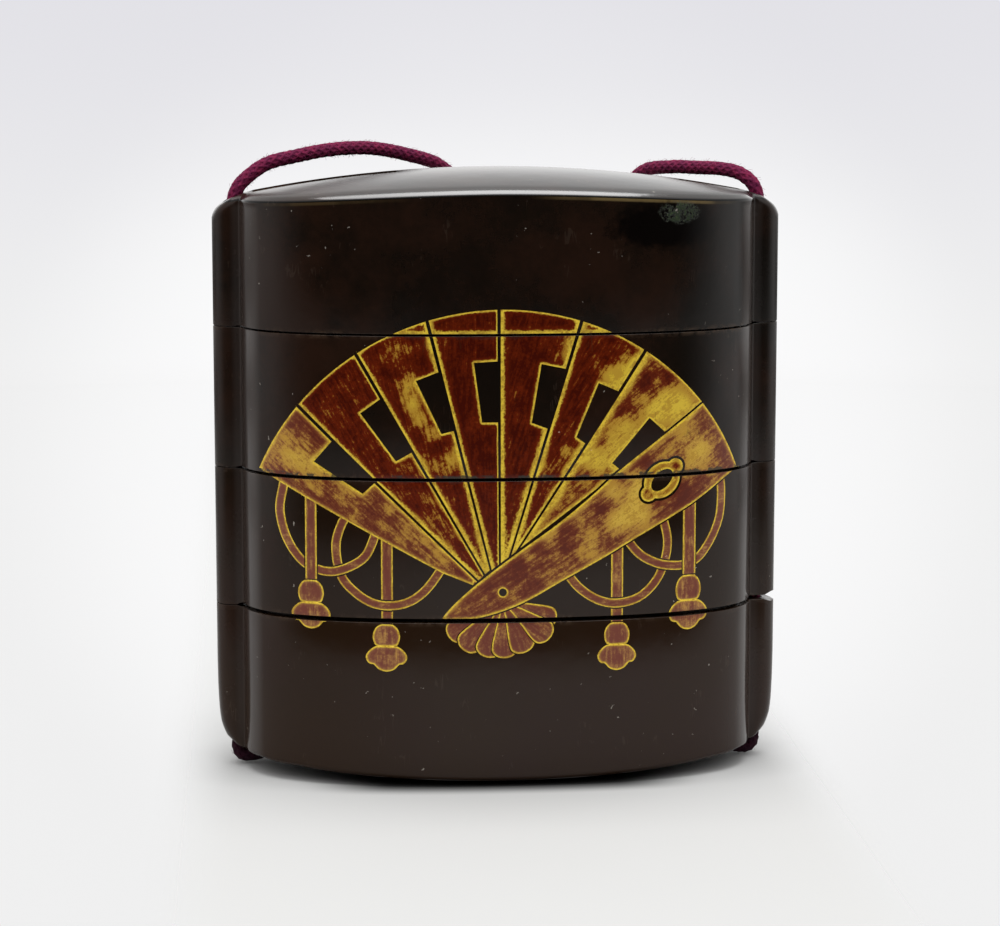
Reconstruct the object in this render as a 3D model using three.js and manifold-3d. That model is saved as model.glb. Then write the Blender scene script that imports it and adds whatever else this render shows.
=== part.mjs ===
// A three-tier Japanese inro: a lid over three nesting lacquered cases, threaded on one silk cord.
// Millimetres, +Z up, front towards -Y, standing on the underside of the lowest case.
import * as THREE from "three";
import { mergeVertices } from "three/addons/utils/BufferGeometryUtils.js";
import Module from "manifold-3d";

const wasm = await Module();
wasm.setup();

// Plan of the body: |x / HALF_WIDTH|^PLAN_X + |y / HALF_DEPTH|^PLAN_Y = 1
const HALF_WIDTH = 28.1;
const HALF_DEPTH = 13.1;
const PLAN_X = 2.36;
const PLAN_Y = 2.5;
const PLAN_SIDES = 80;

// Cord runners: a round rib on each narrow end, bored from top to bottom
const RUNNER_X = 29.0;
const RUNNER_R = 2.0;
const RUNNER_TOP = 62.9;
const RUNNER_TOP_SLOPE = 0.35;
const RUNNER_SIDES = 24;
const BORE_X = 28.8;
const BORE_R = 0.97;
const BORE_SIDES = 12;
const MOUTH_R = 1.6;
const MOUTH_DEEP = 1.2;

// Domed top and gently rounded underside
const CROWN = 66.0;
const CROWN_FALL_X = 2.8;
const CROWN_FALL_Y = 2.2;
const RIM_BEVEL = 0.3;
const FOOT_EDGE = 0.7;
const FOOT_CORNER_RISE = 1.75;
const FOOT_FLAT = 0.6;

// Seams, each the height of its middle, and how far each one stands open
const SEAM_TOP = 48.95;
const SEAM_MIDDLE = 33.5;
const SEAM_BOTTOM = 18.25;
const GAP_TOP = 0.2;
const GAP_MIDDLE = 0.3;
const GAP_BOTTOM = 0.45;
const CHIP_REACH = 1.6;
const CHIP_DROP = 0.4;

// Hollows: the bore of a case, its standing riser, and the socket that takes the riser below
const BORE_INSET = 2.3;
const RISER_THICK = 0.9;
const RISER_HIGH = 4.2;
const SOCKET_PLAY = 0.15;
const SOCKET_DEEP = 4.6;
const FLOOR_THICK = 1.4;
const BASE_THICK = 3.4;
const ROOF_THICK = 2.2;

// Cord, and the groove that takes it under the base
const CORD_D = 1.5;
const CORD_SIDES = 8;
const GROOVE_HIGH = 1.8;
const CORD_LOW = 0.9;
const CORD_BEND = 0.9;
const CORD_END_GAP = 0.3;
const CORD_SPLIT = 62.0;

// The free stretch, from the left runner over the top, down behind the back and up to the right runner
const LOOP_ROUTE = [
  [-28.65, 0, CORD_SPLIT + CORD_END_GAP],
  [-28.47, 0.05, 63.1],
  [-28.1, 0.15, 63.9],
  [-27.4, 0.35, 64.7],
  [-25.1, 1.2, 66.3],
  [-21.8, 2.6, 67.1],
  [-17.6, 5.2, 67.7],
  [-13.3, 8.2, 67.65],
  [-8.9, 11.2, 66.7],
  [-5.6, 13.6, 65.5],
  [-3.5, 15.2, 63.4],
  [-2.4, 15.6, 59.5],
  [-1.9, 15.1, 46],
  [-1.6, 14.8, 31],
  [-1.3, 14.8, 14],
  [1.2, 14.9, 6],
  [6.8, 15.0, 2.6],
  [12.4, 14.9, 6],
  [14.9, 14.8, 14],
  [15.1, 14.6, 31],
  [15.2, 14.8, 46],
  [15.3, 15.3, 58.5],
  [16.0, 14.9, 62.4],
  [17.6, 12.9, 64.7],
  [20.2, 9.2, 65.4],
  [22.9, 5.7, 65.5],
  [25.1, 3.0, 65.5],
  [26.9, 1.2, 65.1],
  [28.2, 0.2, 64.0],
  [28.55, 0.05, 63.1],
  [28.7, 0, CORD_SPLIT + CORD_END_GAP],
];
const LOOP_STEPS = 56;
const BEND_STEPS = 4;

const power = (value, exponent) => Math.sign(value) * Math.abs(value) ** exponent;

// Heights of the domed top and of the rounded underside over a point of the plan
const domeHeight = (x, y) =>
  CROWN - CROWN_FALL_X * (x / HALF_WIDTH) ** 2 - CROWN_FALL_Y * (y / HALF_DEPTH) ** 2;
const footEdge = (x) => FOOT_EDGE + FOOT_CORNER_RISE * (x / HALF_WIDTH) ** 2;
const footHeight = (x, share) =>
  footEdge(x) * (Math.max(0, share - FOOT_FLAT) / (1 - FOOT_FLAT)) ** 1.5;

function toSolid(geometry) {
  const bare = geometry.clone();
  bare.deleteAttribute("normal");
  bare.deleteAttribute("uv");
  const merged = mergeVertices(bare, 1e-4);
  return new wasm.Manifold(new wasm.Mesh({
    numProp: 3,
    vertProperties: Float32Array.from(merged.attributes.position.array),
    triVerts: Uint32Array.from(merged.index.array),
  }));
}

function toGeometry(solid) {
  const mesh = solid.getMesh();
  const geometry = new THREE.BufferGeometry();
  geometry.setAttribute("position", new THREE.BufferAttribute(mesh.vertProperties, 3));
  geometry.setIndex(new THREE.BufferAttribute(mesh.triVerts, 1));
  const flat = geometry.toNonIndexed();
  flat.computeVertexNormals();
  return flat;
}

// A turned profile of [share of the plan, height] pairs, spread from a circle to the plan's curve
function turnedToPlan(profile, halfWidth, halfDepth) {
  const points = profile.map(([share, height]) => new THREE.Vector2(share, height));
  const geometry = new THREE.LatheGeometry(points, PLAN_SIDES).rotateX(Math.PI / 2);
  const place = geometry.attributes.position;
  for (let i = 0; i < place.count; i++) {
    const share = Math.hypot(place.getX(i), place.getY(i));
    const cos = share > 1e-6 ? place.getX(i) / share : 0;
    const sin = share > 1e-6 ? place.getY(i) / share : 0;
    const x = halfWidth * share * power(cos, 2 / PLAN_X);
    const y = halfDepth * share * power(sin, 2 / PLAN_Y);
    place.setXYZ(i, x, y, place.getZ(i));
  }
  return geometry;
}

// An upright wall of the plan's shape, inset from the outside by one distance all round
function prism(inset, low, high) {
  const profile = [[0, low], [1, low], [1, high], [0, high]];
  return toSolid(turnedToPlan(profile, HALF_WIDTH - inset, HALF_DEPTH - inset));
}

// Between levels -1 and 0 a vertex rides on the underside, above level 1 on the dome
const UNDERSIDE = -1;
const TOP = 1;

function outerForm() {
  const foot = [0, FOOT_FLAT, 0.72, 0.83, 0.92, 0.975].map((share) => [share, UNDERSIDE]);
  const wall = [[1, UNDERSIDE], [1, TOP]];
  const dome = [0.985, 0.93, 0.84, 0.7, 0.52, 0.3, 0].map((share) => [share, TOP]);
  const geometry = turnedToPlan([...foot, ...wall, ...dome], HALF_WIDTH, HALF_DEPTH);
  const place = geometry.attributes.position;
  for (let i = 0; i < place.count; i++) {
    const x = place.getX(i);
    const y = place.getY(i);
    const share = (Math.abs(x / HALF_WIDTH) ** PLAN_X + Math.abs(y / HALF_DEPTH) ** PLAN_Y)
      ** (2 / (PLAN_X + PLAN_Y));
    const bevel = share > 0.995 ? RIM_BEVEL : 0;
    const height = place.getZ(i) > 0 ? domeHeight(x, y) - bevel : footHeight(x, share);
    place.setZ(i, height);
  }
  return toSolid(geometry);
}

// A runner tapers in to the underside's edge, and its rounded top carries the dome's slope on
function runner(x) {
  const foot = [[0, 0], [0.9, 0], [1.15, 0.4], [1.4, 1], [1.65, 2], [1.87, 3.4], [RUNNER_R, 5]];
  const top = [[RUNNER_R, -0.85], [1.9, -0.4], [1.65, -0.12], [1.3, 0], [0, 0]];
  const points = [...foot, ...top.map(([radius, drop]) => [radius, RUNNER_TOP + drop])]
    .map(([radius, height]) => new THREE.Vector2(radius, height));
  const geometry = new THREE.LatheGeometry(points, RUNNER_SIDES).rotateX(Math.PI / 2);
  geometry.translate(x, 0, 0);
  const place = geometry.attributes.position;
  for (let i = 0; i < place.count; i++) {
    const along = place.getX(i);
    const slope = RUNNER_TOP_SLOPE * (HALF_WIDTH - Math.abs(along));
    const shift = place.getZ(i) > CROWN / 2 ? slope : footEdge(along);
    place.setZ(i, place.getZ(i) + shift);
  }
  return toSolid(geometry);
}

function block(low, high) {
  const size = high.map((value, i) => value - low[i]);
  const middle = high.map((value, i) => (value + low[i]) / 2);
  return toSolid(new THREE.BoxGeometry(...size).translate(...middle));
}

// Everything between two heights, wider than the body
function slab(low, high) {
  return block([-40, -20, low], [40, 20, high]);
}

// A worn corner on the right runner: a thin wedge that opens outwards from a seam's edge
function chip(height, drop) {
  const inner = RUNNER_X + RUNNER_R - CHIP_REACH;
  const outer = RUNNER_X + RUNNER_R + 0.2;
  const outline = new THREE.Shape([
    new THREE.Vector2(inner, height - Math.sign(drop) * 0.01),
    new THREE.Vector2(outer, height - Math.sign(drop) * 0.01),
    new THREE.Vector2(outer, height + drop),
  ]);
  const geometry = new THREE.ExtrudeGeometry(outline, { depth: 6, bevelEnabled: false });
  return toSolid(geometry.rotateX(Math.PI / 2).translate(0, 3, 0));
}

// The cord's bore through a runner, flared at its mouth in the lid
function bore(x) {
  const profile = [
    [0, -1], [BORE_R, -1], [BORE_R, RUNNER_TOP - MOUTH_DEEP / 2],
    [MOUTH_R, RUNNER_TOP + MOUTH_DEEP], [0, RUNNER_TOP + MOUTH_DEEP],
  ].map(([radius, height]) => new THREE.Vector2(radius, height));
  const geometry = new THREE.LatheGeometry(profile, BORE_SIDES).rotateX(Math.PI / 2);
  return toSolid(geometry.translate(x, 0, 0));
}

const boredForm = outerForm()
  .add(runner(RUNNER_X))
  .add(runner(-RUNNER_X))
  .subtract(bore(BORE_X))
  .subtract(bore(-BORE_X));

const riser = (seat) => prism(BORE_INSET - RISER_THICK, seat - 1, seat + RISER_HIGH);
const hollow = (low, high) => prism(BORE_INSET, low, high);
const socket = (low) =>
  prism(BORE_INSET - RISER_THICK - SOCKET_PLAY, low - 1, low + SOCKET_DEEP);

// One case of the stack: its wall between two seams, a riser above and a socket below
function nestedCase(low, high) {
  const floor = low + SOCKET_DEEP + FLOOR_THICK;
  return boredForm
    .intersect(slab(low, high))
    .add(riser(high))
    .subtract(hollow(floor, high + RISER_HIGH + 1))
    .subtract(socket(low));
}

function lowestCase(high) {
  const groove = block([-BORE_X, -BORE_R, -1], [BORE_X, BORE_R, GROOVE_HIGH]);
  return boredForm
    .intersect(slab(-1, high))
    .add(riser(high))
    .subtract(hollow(BASE_THICK, high + RISER_HIGH + 1))
    .subtract(groove);
}

// The lid's hollow follows its domed top at one thickness
function lidHollow(low) {
  const shares = [1, 0.8, 0.55, 0.28, 0];
  const roof = shares.map((share) => [share, TOP]);
  const geometry = turnedToPlan(
    [[0, low], [1, low], ...roof], HALF_WIDTH - BORE_INSET, HALF_DEPTH - BORE_INSET);
  const place = geometry.attributes.position;
  for (let i = 0; i < place.count; i++) {
    if (place.getZ(i) === TOP) {
      place.setZ(i, domeHeight(place.getX(i), place.getY(i)) - ROOF_THICK);
    }
  }
  return toSolid(geometry);
}

function lidCase(low) {
  return boredForm
    .intersect(slab(low, CROWN + 4))
    .subtract(lidHollow(low - 1))
    .subtract(socket(low));
}

// A route whose points are used as they stand, one ring of the tube at each
class Route extends THREE.Curve {
  constructor(points) {
    super();
    this.points = points;
  }
  getPoint(share, target = new THREE.Vector3()) {
    const last = this.points.length - 1;
    const place = Math.min(Math.max(share, 0), 1) * last;
    const i = Math.min(Math.floor(place), last - 1);
    return target.lerpVectors(this.points[i], this.points[i + 1], place - i);
  }
  getTangent(share, target = new THREE.Vector3()) {
    const last = this.points.length - 1;
    const i = Math.round(share * last);
    const before = this.points[Math.max(i - 1, 0)];
    const after = this.points[Math.min(i + 1, last)];
    const here = this.points[i];
    const into = here.clone().sub(before).normalize();
    const out = after.clone().sub(here).normalize();
    return target.addVectors(into, out).normalize();
  }
  getUtoTmapping(share) {
    return share;
  }
}

function cordTube(points) {
  const section = new THREE.Shape(
    Array.from({ length: CORD_SIDES }, (_, i) => {
      const turn = (2 * Math.PI * (i + 0.5)) / CORD_SIDES;
      return new THREE.Vector2(Math.cos(turn), Math.sin(turn)).multiplyScalar(CORD_D / 2);
    }));
  return new THREE.ExtrudeGeometry(section, {
    steps: points.length - 1,
    extrudePath: new Route(points),
  });
}

function loopPoints() {
  const knots = LOOP_ROUTE.map((point) => new THREE.Vector3(...point));
  return new THREE.CatmullRomCurve3(knots, false, "centripetal").getPoints(LOOP_STEPS);
}

// The held stretch: down the left bore, along the groove under the base and up the right bore
function threadedPoints() {
  const rise = CORD_LOW + CORD_BEND;
  const turn = (side) => Array.from({ length: BEND_STEPS + 1 }, (_, i) => {
    const angle = (Math.PI / 2) * (i / BEND_STEPS);
    const x = BORE_X - CORD_BEND * (1 - Math.cos(angle));
    return new THREE.Vector3(side * x, 0, rise - CORD_BEND * Math.sin(angle));
  });
  const down = [CORD_SPLIT, SEAM_TOP, SEAM_MIDDLE, SEAM_BOTTOM, 8];
  const leg = (side) => down.map((height) => new THREE.Vector3(side * BORE_X, 0, height));
  const across = [-14, 0, 14].map((x) => new THREE.Vector3(x, 0, CORD_LOW));
  return [...leg(-1), ...turn(-1), ...across, ...turn(1).reverse(), ...leg(1).reverse()];
}

function piece(name, geometry, color, roughness) {
  const material = new THREE.MeshStandardMaterial({ color, roughness, metalness: 0 });
  const mesh = new THREE.Mesh(geometry, material);
  mesh.name = name;
  return mesh;
}

const LACQUER = 0x1b1410;
const SILK = 0x5a1a22;
const bottomTop = SEAM_BOTTOM - GAP_BOTTOM / 2;
const middleBottom = SEAM_BOTTOM + GAP_BOTTOM / 2;

const lid = lidCase(SEAM_TOP + GAP_TOP / 2);
const upperCase = nestedCase(SEAM_MIDDLE + GAP_MIDDLE / 2, SEAM_TOP - GAP_TOP / 2);
const middleCase = nestedCase(middleBottom, SEAM_MIDDLE - GAP_MIDDLE / 2)
  .subtract(chip(middleBottom, CHIP_DROP));
const lowerCase = lowestCase(bottomTop).subtract(chip(bottomTop, -CHIP_DROP));

const inro = new THREE.Group();
inro.add(piece("lid", toGeometry(lid), LACQUER, 0.2));
inro.add(piece("upper_case", toGeometry(upperCase), LACQUER, 0.2));
inro.add(piece("middle_case", toGeometry(middleCase), LACQUER, 0.2));
inro.add(piece("lower_case", toGeometry(lowerCase), LACQUER, 0.2));
inro.add(piece("cord_loop", cordTube(loopPoints()), SILK, 0.9));
inro.add(piece("cord_threaded", cordTube(threadedPoints()), SILK, 0.9));

export default inro;
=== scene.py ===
"""A four-part Japanese inro: domed lid, three nesting cases, a gilt fan picture and a silk cord.

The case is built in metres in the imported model's frame, front towards -Y, standing on the floor.
"""

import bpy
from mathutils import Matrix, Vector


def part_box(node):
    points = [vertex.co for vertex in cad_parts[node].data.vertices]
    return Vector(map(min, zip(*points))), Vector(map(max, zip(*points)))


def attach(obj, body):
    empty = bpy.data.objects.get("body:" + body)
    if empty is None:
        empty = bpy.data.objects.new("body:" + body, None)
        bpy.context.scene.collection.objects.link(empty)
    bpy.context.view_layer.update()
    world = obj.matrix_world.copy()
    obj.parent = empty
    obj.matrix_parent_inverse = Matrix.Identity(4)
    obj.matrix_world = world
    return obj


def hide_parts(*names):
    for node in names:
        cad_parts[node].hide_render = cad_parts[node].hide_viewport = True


bl_info = {
    "name": "Lacquered Inro",
    "version": (1, 0, 0),
    "blender": (4, 5, 0),
    "location": "3D View > Sidebar > Inro",
    "description": "Builds a lacquered inro with a fan picture, threaded on a braided silk cord",
    "category": "Add Mesh",
}

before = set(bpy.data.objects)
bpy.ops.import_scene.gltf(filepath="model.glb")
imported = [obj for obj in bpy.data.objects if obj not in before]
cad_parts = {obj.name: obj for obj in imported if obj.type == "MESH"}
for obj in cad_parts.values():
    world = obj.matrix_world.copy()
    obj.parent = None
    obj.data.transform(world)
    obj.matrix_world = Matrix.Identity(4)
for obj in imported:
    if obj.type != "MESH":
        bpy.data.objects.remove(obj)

import math

import bmesh
import bpy
import numpy as np
from mathutils import Vector
from mathutils.geometry import delaunay_2d_cdt

MM = 0.001
LID_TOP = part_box("lid")[1]

# Heights in millimetres: seams between the cases, and how far each one stands open
SEAMS = ((48.95, 0.2), (33.5, 0.3), (18.25, 0.45))
TIERS = ("lower_case", "middle_case", "upper_case", "lid")
LID = 3

# How far the inner forms stand in from the outside, and the heights of riser and socket
RISER_INSET, SOCKET_INSET, HOLLOW_INSET = 1.4, 1.25, 2.3
RISER_HEIGHT, SOCKET_HEIGHT = 4.2, 4.6
LOWEST_FLOOR, FLOOR_THICKNESS, ROOF_THICKNESS = 3.4, 6.0, 2.2
BORE_X, BORE_RADIUS, GROOVE_TOP = 28.8, 0.97, 2.65

# The free cord's route, from the left runner over the top, down behind the back, and up again
LOOP_ROUTE = (
    (-28.65, 0, 62.3), (-28.47, 0.05, 63.1), (-28.1, 0.15, 63.9), (-27.4, 0.35, 64.7),
    (-25.1, 1.2, 66.3), (-21.8, 2.6, 67.1), (-17.6, 5.2, 67.7), (-13.3, 8.2, 67.65),
    (-8.9, 11.2, 66.7), (-5.6, 13.6, 65.5), (-3.5, 15.2, 63.4), (-2.4, 15.6, 59.5),
    (-1.9, 15.1, 46), (-1.6, 14.8, 31), (-1.3, 14.8, 14), (1.2, 14.9, 6),
    (6.8, 15.0, 2.6), (12.4, 14.9, 6), (14.9, 14.8, 14), (15.1, 14.6, 31),
    (15.2, 14.8, 46), (15.3, 15.3, 58.5), (16.0, 14.9, 62.4), (17.6, 12.9, 64.7),
    (20.2, 9.2, 65.4), (22.9, 5.7, 65.5), (25.1, 3.0, 65.5), (26.9, 1.2, 65.1),
    (28.2, 0.2, 64.0), (28.55, 0.05, 63.1), (28.7, 0, 62.3),
)
ROUTE_STEPS, BRAID_STEPS = 56, 420


# ---------------------------------------------------------------- settings


def length(name, description, default, low, high=1.0):
    """A length setting, in metres."""
    return bpy.props.FloatProperty(
        name=name, description=description, default=default, min=low, max=high,
        unit="LENGTH", subtype="DISTANCE")


def tint(name, description, default):
    """A colour setting."""
    return bpy.props.FloatVectorProperty(
        name=name, description=description, default=default, size=3, min=0, max=1,
        subtype="COLOR")


class InroBodySettings(bpy.types.PropertyGroup):
    """Sizes and lacquer of the lid and the cases"""

    half_width: length("Half Width", "From the middle to the body's narrow end", 0.0281, 0.01)
    half_depth: length("Half Depth", "From the middle to the front face", LID_TOP.y, 0.005)
    plan_x: bpy.props.FloatProperty(
        name="Plan Power X", description="How square the plan is towards its ends",
        default=2.36, min=2, max=6)
    plan_y: bpy.props.FloatProperty(
        name="Plan Power Y", description="How square the plan is towards its faces",
        default=2.5, min=2, max=6)
    crown: length("Crown Height", "Top of the domed lid above the floor", LID_TOP.z, 0.03)
    runner_reach: length(
        "Runner Centre", "From the middle to the centre of a cord runner", 0.029, 0.01)
    runner_radius: length("Runner Radius", "Radius of the rib that the cord runs in", 0.002, 0.001)
    seam_edge: length("Seam Edge", "Rounding of the edges that meet at a seam", 0.00007, 0.00002)
    lacquer: tint("Lacquer", "Colour of the brown-black lacquer", (0.0062, 0.0042, 0.0028))
    worn: tint("Worn Lacquer", "Redder brown where the lacquer has aged", (0.019, 0.0085, 0.005))


class InroPictureSettings(bpy.types.PropertyGroup):
    """The fan picture"""

    lift: length(
        "Lift", "How far the picture's layer stands above the lacquer", 0.00005, 0, 0.0005)
    grain: length(
        "Mesh Grain", "Distance between the points inside the picture", 0.00034, 0.0001, 0.002)
    red: tint("Red", "Colour of the red lacquer", (0.14, 0.014, 0.0025))
    gold: tint("Gold", "Colour of the sprinkled gold", (0.77, 0.55, 0.047))


class InroCordSettings(bpy.types.PropertyGroup):
    """The silk cord"""

    diameter: length("Diameter", "Thickness of the cord", 0.0015, 0.0005, 0.005)
    strands: bpy.props.IntProperty(
        name="Strands", description="Yarns in the braid, half of them turning each way",
        default=12, min=4, max=24)
    pitch: length("Pitch", "Length in which a yarn goes once round the cord", 0.0062, 0.002)
    fibres: bpy.props.FloatProperty(
        name="Loose Fibres", description="Stray fibres on each square millimetre",
        default=5.0, min=0, max=20)
    silk: tint("Silk", "Colour of the dyed silk", (0.2, 0.017, 0.056))


class InroStageSettings(bpy.types.PropertyGroup):
    """Camera, floor and lights"""

    camera: bpy.props.FloatVectorProperty(
        name="Camera Place", description="Where the camera stands",
        default=(-0.0254, -0.3428, 0.084575), size=3, unit="LENGTH", subtype="TRANSLATION")
    aim: bpy.props.FloatVectorProperty(
        name="Camera Aim", description="Direction in which the camera looks",
        default=(0.07411, 0.98630, -0.14736), size=3, subtype="DIRECTION")
    lens: bpy.props.FloatProperty(
        name="Lens", description="Focal length for a 36 mm sensor",
        default=113.29, min=20, max=300)
    floor: tint("Floor", "Colour of the pale floor", (0.50, 0.50, 0.495))
    softbox: bpy.props.FloatProperty(
        name="Softbox Power", description="Strength of the overhead softbox",
        default=4.5, min=0, unit="POWER", subtype="POWER")
    room: bpy.props.FloatProperty(
        name="Room Light", description="Brightness of the pale surroundings",
        default=1.05, min=0)


# ---------------------------------------------------------------- meshes


def own_object(name, mesh):
    """A new object for a mesh, linked to the scene."""
    made = bpy.data.objects.new(name, mesh)
    bpy.context.scene.collection.objects.link(made)
    return made


def mesh_object(name, points, faces):
    """A new object from points in millimetres."""
    mesh = bpy.data.meshes.new(name)
    mesh.from_pydata([tuple(float(c) * MM for c in p) for p in points], [], faces)
    mesh.update()
    return own_object(name, mesh)


def plain_mesh(obj, name):
    """The object's evaluated shape as a plain mesh in a new object; the old one is removed."""
    bpy.context.view_layer.update()
    evaluated = obj.evaluated_get(bpy.context.evaluated_depsgraph_get())
    mesh = bpy.data.meshes.new_from_object(evaluated)
    mesh.name = name
    bpy.data.objects.remove(obj, do_unlink=True)
    return own_object(name, mesh)


def loft(name, rows, low_point=None, high_point=None):
    """Rings of points joined in order, each end closed by a flat face or drawn to a point."""
    count = len(rows[0])
    points = [point for row in rows for point in row]
    sides = [(i, (i + 1) % count) for i in range(count)]
    top = (len(rows) - 1) * count
    faces = [(base + i, base + j, base + count + j, base + count + i)
             for base in range(0, top, count) for i, j in sides]
    if low_point is None:
        faces.append(tuple(reversed(range(count))))
    else:
        faces += [(len(points), j, i) for i, j in sides]
        points.append(low_point)
    if high_point is None:
        faces.append(tuple(range(top, top + count)))
    else:
        faces += [(len(points), top + i, top + j) for i, j in sides]
        points.append(high_point)
    return mesh_object(name, points, faces)


def turned(name, profile, centre, sides=48):
    """A turned solid from (radius, height) pairs round an upright axis, in millimetres."""
    turn = np.linspace(0, 2 * math.pi, sides, endpoint=False)
    rows = []
    for radius, height in profile:
        ring = np.stack([centre[0] + radius * np.cos(turn),
                         centre[1] + radius * np.sin(turn),
                         np.full(sides, float(height))], axis=1)
        rows.append(ring)
    return loft(name, rows)


def placed(points, centre, turn):
    """Points turned by an angle in radians and set about a centre."""
    c, s = math.cos(turn), math.sin(turn)
    return [(centre[0] + u * c - v * s, centre[1] + u * s + v * c) for u, v in points]


def block(name, low, high):
    """A rectangular block between two corners, in millimetres."""
    corners = [(x, y, z) for x in (low[0], high[0]) for y in (low[1], high[1])
               for z in (low[2], high[2])]
    faces = [(0, 1, 3, 2), (4, 6, 7, 5), (0, 4, 5, 1), (2, 3, 7, 6), (0, 2, 6, 4), (1, 5, 7, 3)]
    return mesh_object(name, corners, faces)


def keep_values(mesh, name, values, kind="FLOAT", field="value"):
    """Stores a value, or a vector, for each point of a mesh."""
    attribute = mesh.attributes.new(name, kind, "POINT")
    attribute.data.foreach_set(field, values.astype(np.float32).ravel())


def covered(mesh, material, crease):
    """Gives a mesh its one material and smooth shading up to a crease, in degrees."""
    mesh.materials.clear()
    mesh.materials.append(material)
    mesh.polygons.foreach_set("use_smooth", [True] * len(mesh.polygons))
    mesh.set_sharp_from_angle(angle=math.radians(crease))


def joined(target, tools, operation):
    """Adds Boolean steps to target; each tool is added to it or taken from it."""
    for tool in tools:
        step = target.modifiers.new("Join", "BOOLEAN")
        step.operation = operation
        step.solver = "MANIFOLD"
        step.object = tool


# ---------------------------------------------------------------- the body's form


def sizes():
    """The body's sizes in millimetres."""
    body = bpy.context.scene.inro_body
    return {
        "a": body.half_width / MM, "b": body.half_depth / MM,
        "px": body.plan_x, "py": body.plan_y, "crown": body.crown / MM,
        "runner_x": body.runner_reach / MM, "runner_r": body.runner_radius / MM,
        "edge": body.seam_edge / MM,
    }


def dome_height(s, x, y):
    """Height of the domed top over a point of the plan."""
    return s["crown"] - 2.8 * (x / s["a"]) ** 2 - 1.8 * (y / s["b"]) ** 2


def top_height(s, x, y):
    """The dome, sinking a little towards the runners, whose tops carry its slope on."""
    reach = np.clip((np.abs(x) - (s["a"] - 1.5)) / 1.5, 0, 1)
    sink = 0.06 * reach * reach * (3 - 2 * reach)
    away = np.abs(x)
    return (dome_height(s, x, y) - sink - 0.14 * np.maximum(0, away - s["a"])
            - 0.3 * np.maximum(0, away - 28.9))


def eased(value, start, end):
    """A smooth step from 0 at start to 1 at end."""
    share = np.clip((value - start) / (end - start), 0, 1)
    return share * share * (3 - 2 * share)


def foot_edge(s, x):
    """Height of the underside's edge; it rises towards the ends and again under the runners."""
    away = np.abs(x)
    return (0.7 + 1.75 * (x / s["a"]) ** 2 - 0.2 * eased(away, 22, 26)
            - 0.25 * eased(away, 26.5, 28) + 0.6 * eased(away, 28.5, 29.9))


def front_depth(s, x):
    """How far the front face stands from the middle plane at x."""
    return s["b"] * (1 - np.abs(x / s["a"]) ** s["px"]) ** (1 / s["py"])


def plan_line(s, t, inset=0):
    """Points of the wall's rounded outline at the angles t, inset all round."""
    return np.stack([(s[size] - inset) * np.sign(way) * np.abs(way) ** (2 / s[power])
                     for size, power, way in (("a", "px", np.cos(t)), ("b", "py", np.sin(t)))],
                    axis=1)


def resampled(line, count, weight=1):
    """A line laid out anew in count steps, closer where its weight is greater."""
    step = np.linalg.norm(np.diff(line, axis=0), axis=1)
    along = np.concatenate([[0], np.cumsum(step * weight)])
    pick = np.linspace(0, along[-1], count + 1)
    return np.stack([np.interp(pick, along, line[:, k]) for k in (0, 1)], axis=1)


WALL_STEPS = 150
RUNNER_STEPS = 60


def plan_ring(s, runner_r, reach=None):
    """One turn of the outline from above: right runner, back, left runner, front.

    Behind its round nose a runner has straight sides that run back to the wall.
    """
    centre = (reach or s["runner_x"] + s["runner_r"]) - runner_r
    low, high = 0.0, runner_r
    for _ in range(50):
        y = (low + high) / 2
        x = s["a"] * (1 - (y / s["b"]) ** s["py"]) ** (1 / s["px"])
        inside = x < centre or (x - centre) ** 2 + y * y < runner_r ** 2
        low, high = (y, high) if inside else (low, y)
    meet_y = max((low + high) / 2, 0.02)
    meet_x = s["a"] * (1 - (meet_y / s["b"]) ** s["py"]) ** (1 / s["px"])
    wall = plan_line(s, np.linspace(0, math.pi, 8001))
    wall = wall[wall[:, 1] > meet_y + 1e-4]
    wall = np.concatenate([[(meet_x, meet_y)], wall, [(-meet_x, meet_y)]])
    middle = (wall[1:] + wall[:-1]) / 2
    back = resampled(wall, WALL_STEPS, 1 + 3 * (np.abs(middle[:, 0]) / s["a"]) ** 10)
    swing = math.atan2(meet_y, max(meet_x - centre, 0.0))
    angle = np.linspace(-swing, swing, 400)
    nose = np.stack([centre + runner_r * np.cos(angle), runner_r * np.sin(angle)], axis=1)
    nose = np.concatenate([[(meet_x, -meet_y)], nose, [(meet_x, meet_y)]])
    right = resampled(nose, RUNNER_STEPS)
    ring = np.concatenate([right[:-1], back[:-1], -right[:-1], -back[:-1]])
    corners = (0, RUNNER_STEPS, RUNNER_STEPS + WALL_STEPS, 2 * RUNNER_STEPS + WALL_STEPS)
    for _ in range(3):
        pull = (np.roll(ring, 1, 0) + np.roll(ring, -1, 0)) / 2 - ring
        share = np.zeros(len(ring))
        for c in corners:
            away = np.linalg.norm(ring - ring[c], axis=1)
            share = np.maximum(share, np.exp(-((away / 0.3) ** 2)))
        ring = ring + 0.6 * pull * share[:, None]
    return ring


def outward(ring):
    """Unit normals of an outline that runs against the clock."""
    run = np.roll(ring, -1, 0) - np.roll(ring, 1, 0)
    normal = np.stack([run[:, 1], -run[:, 0]], axis=1)
    return normal / np.linalg.norm(normal, axis=1)[:, None]


def raised(ring, height):
    """An outline at one height, or at a height for each point."""
    return np.column_stack([ring, np.broadcast_to(height, len(ring))])


def on_runner(s, ring):
    """1 on a runner, 0 on the body, blended at the corner between them."""
    reach = np.clip((np.abs(ring[:, 0]) - (s["a"] + 0.05)) / 0.7, 0, 1)
    return reach * reach * (3 - 2 * reach)


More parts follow.
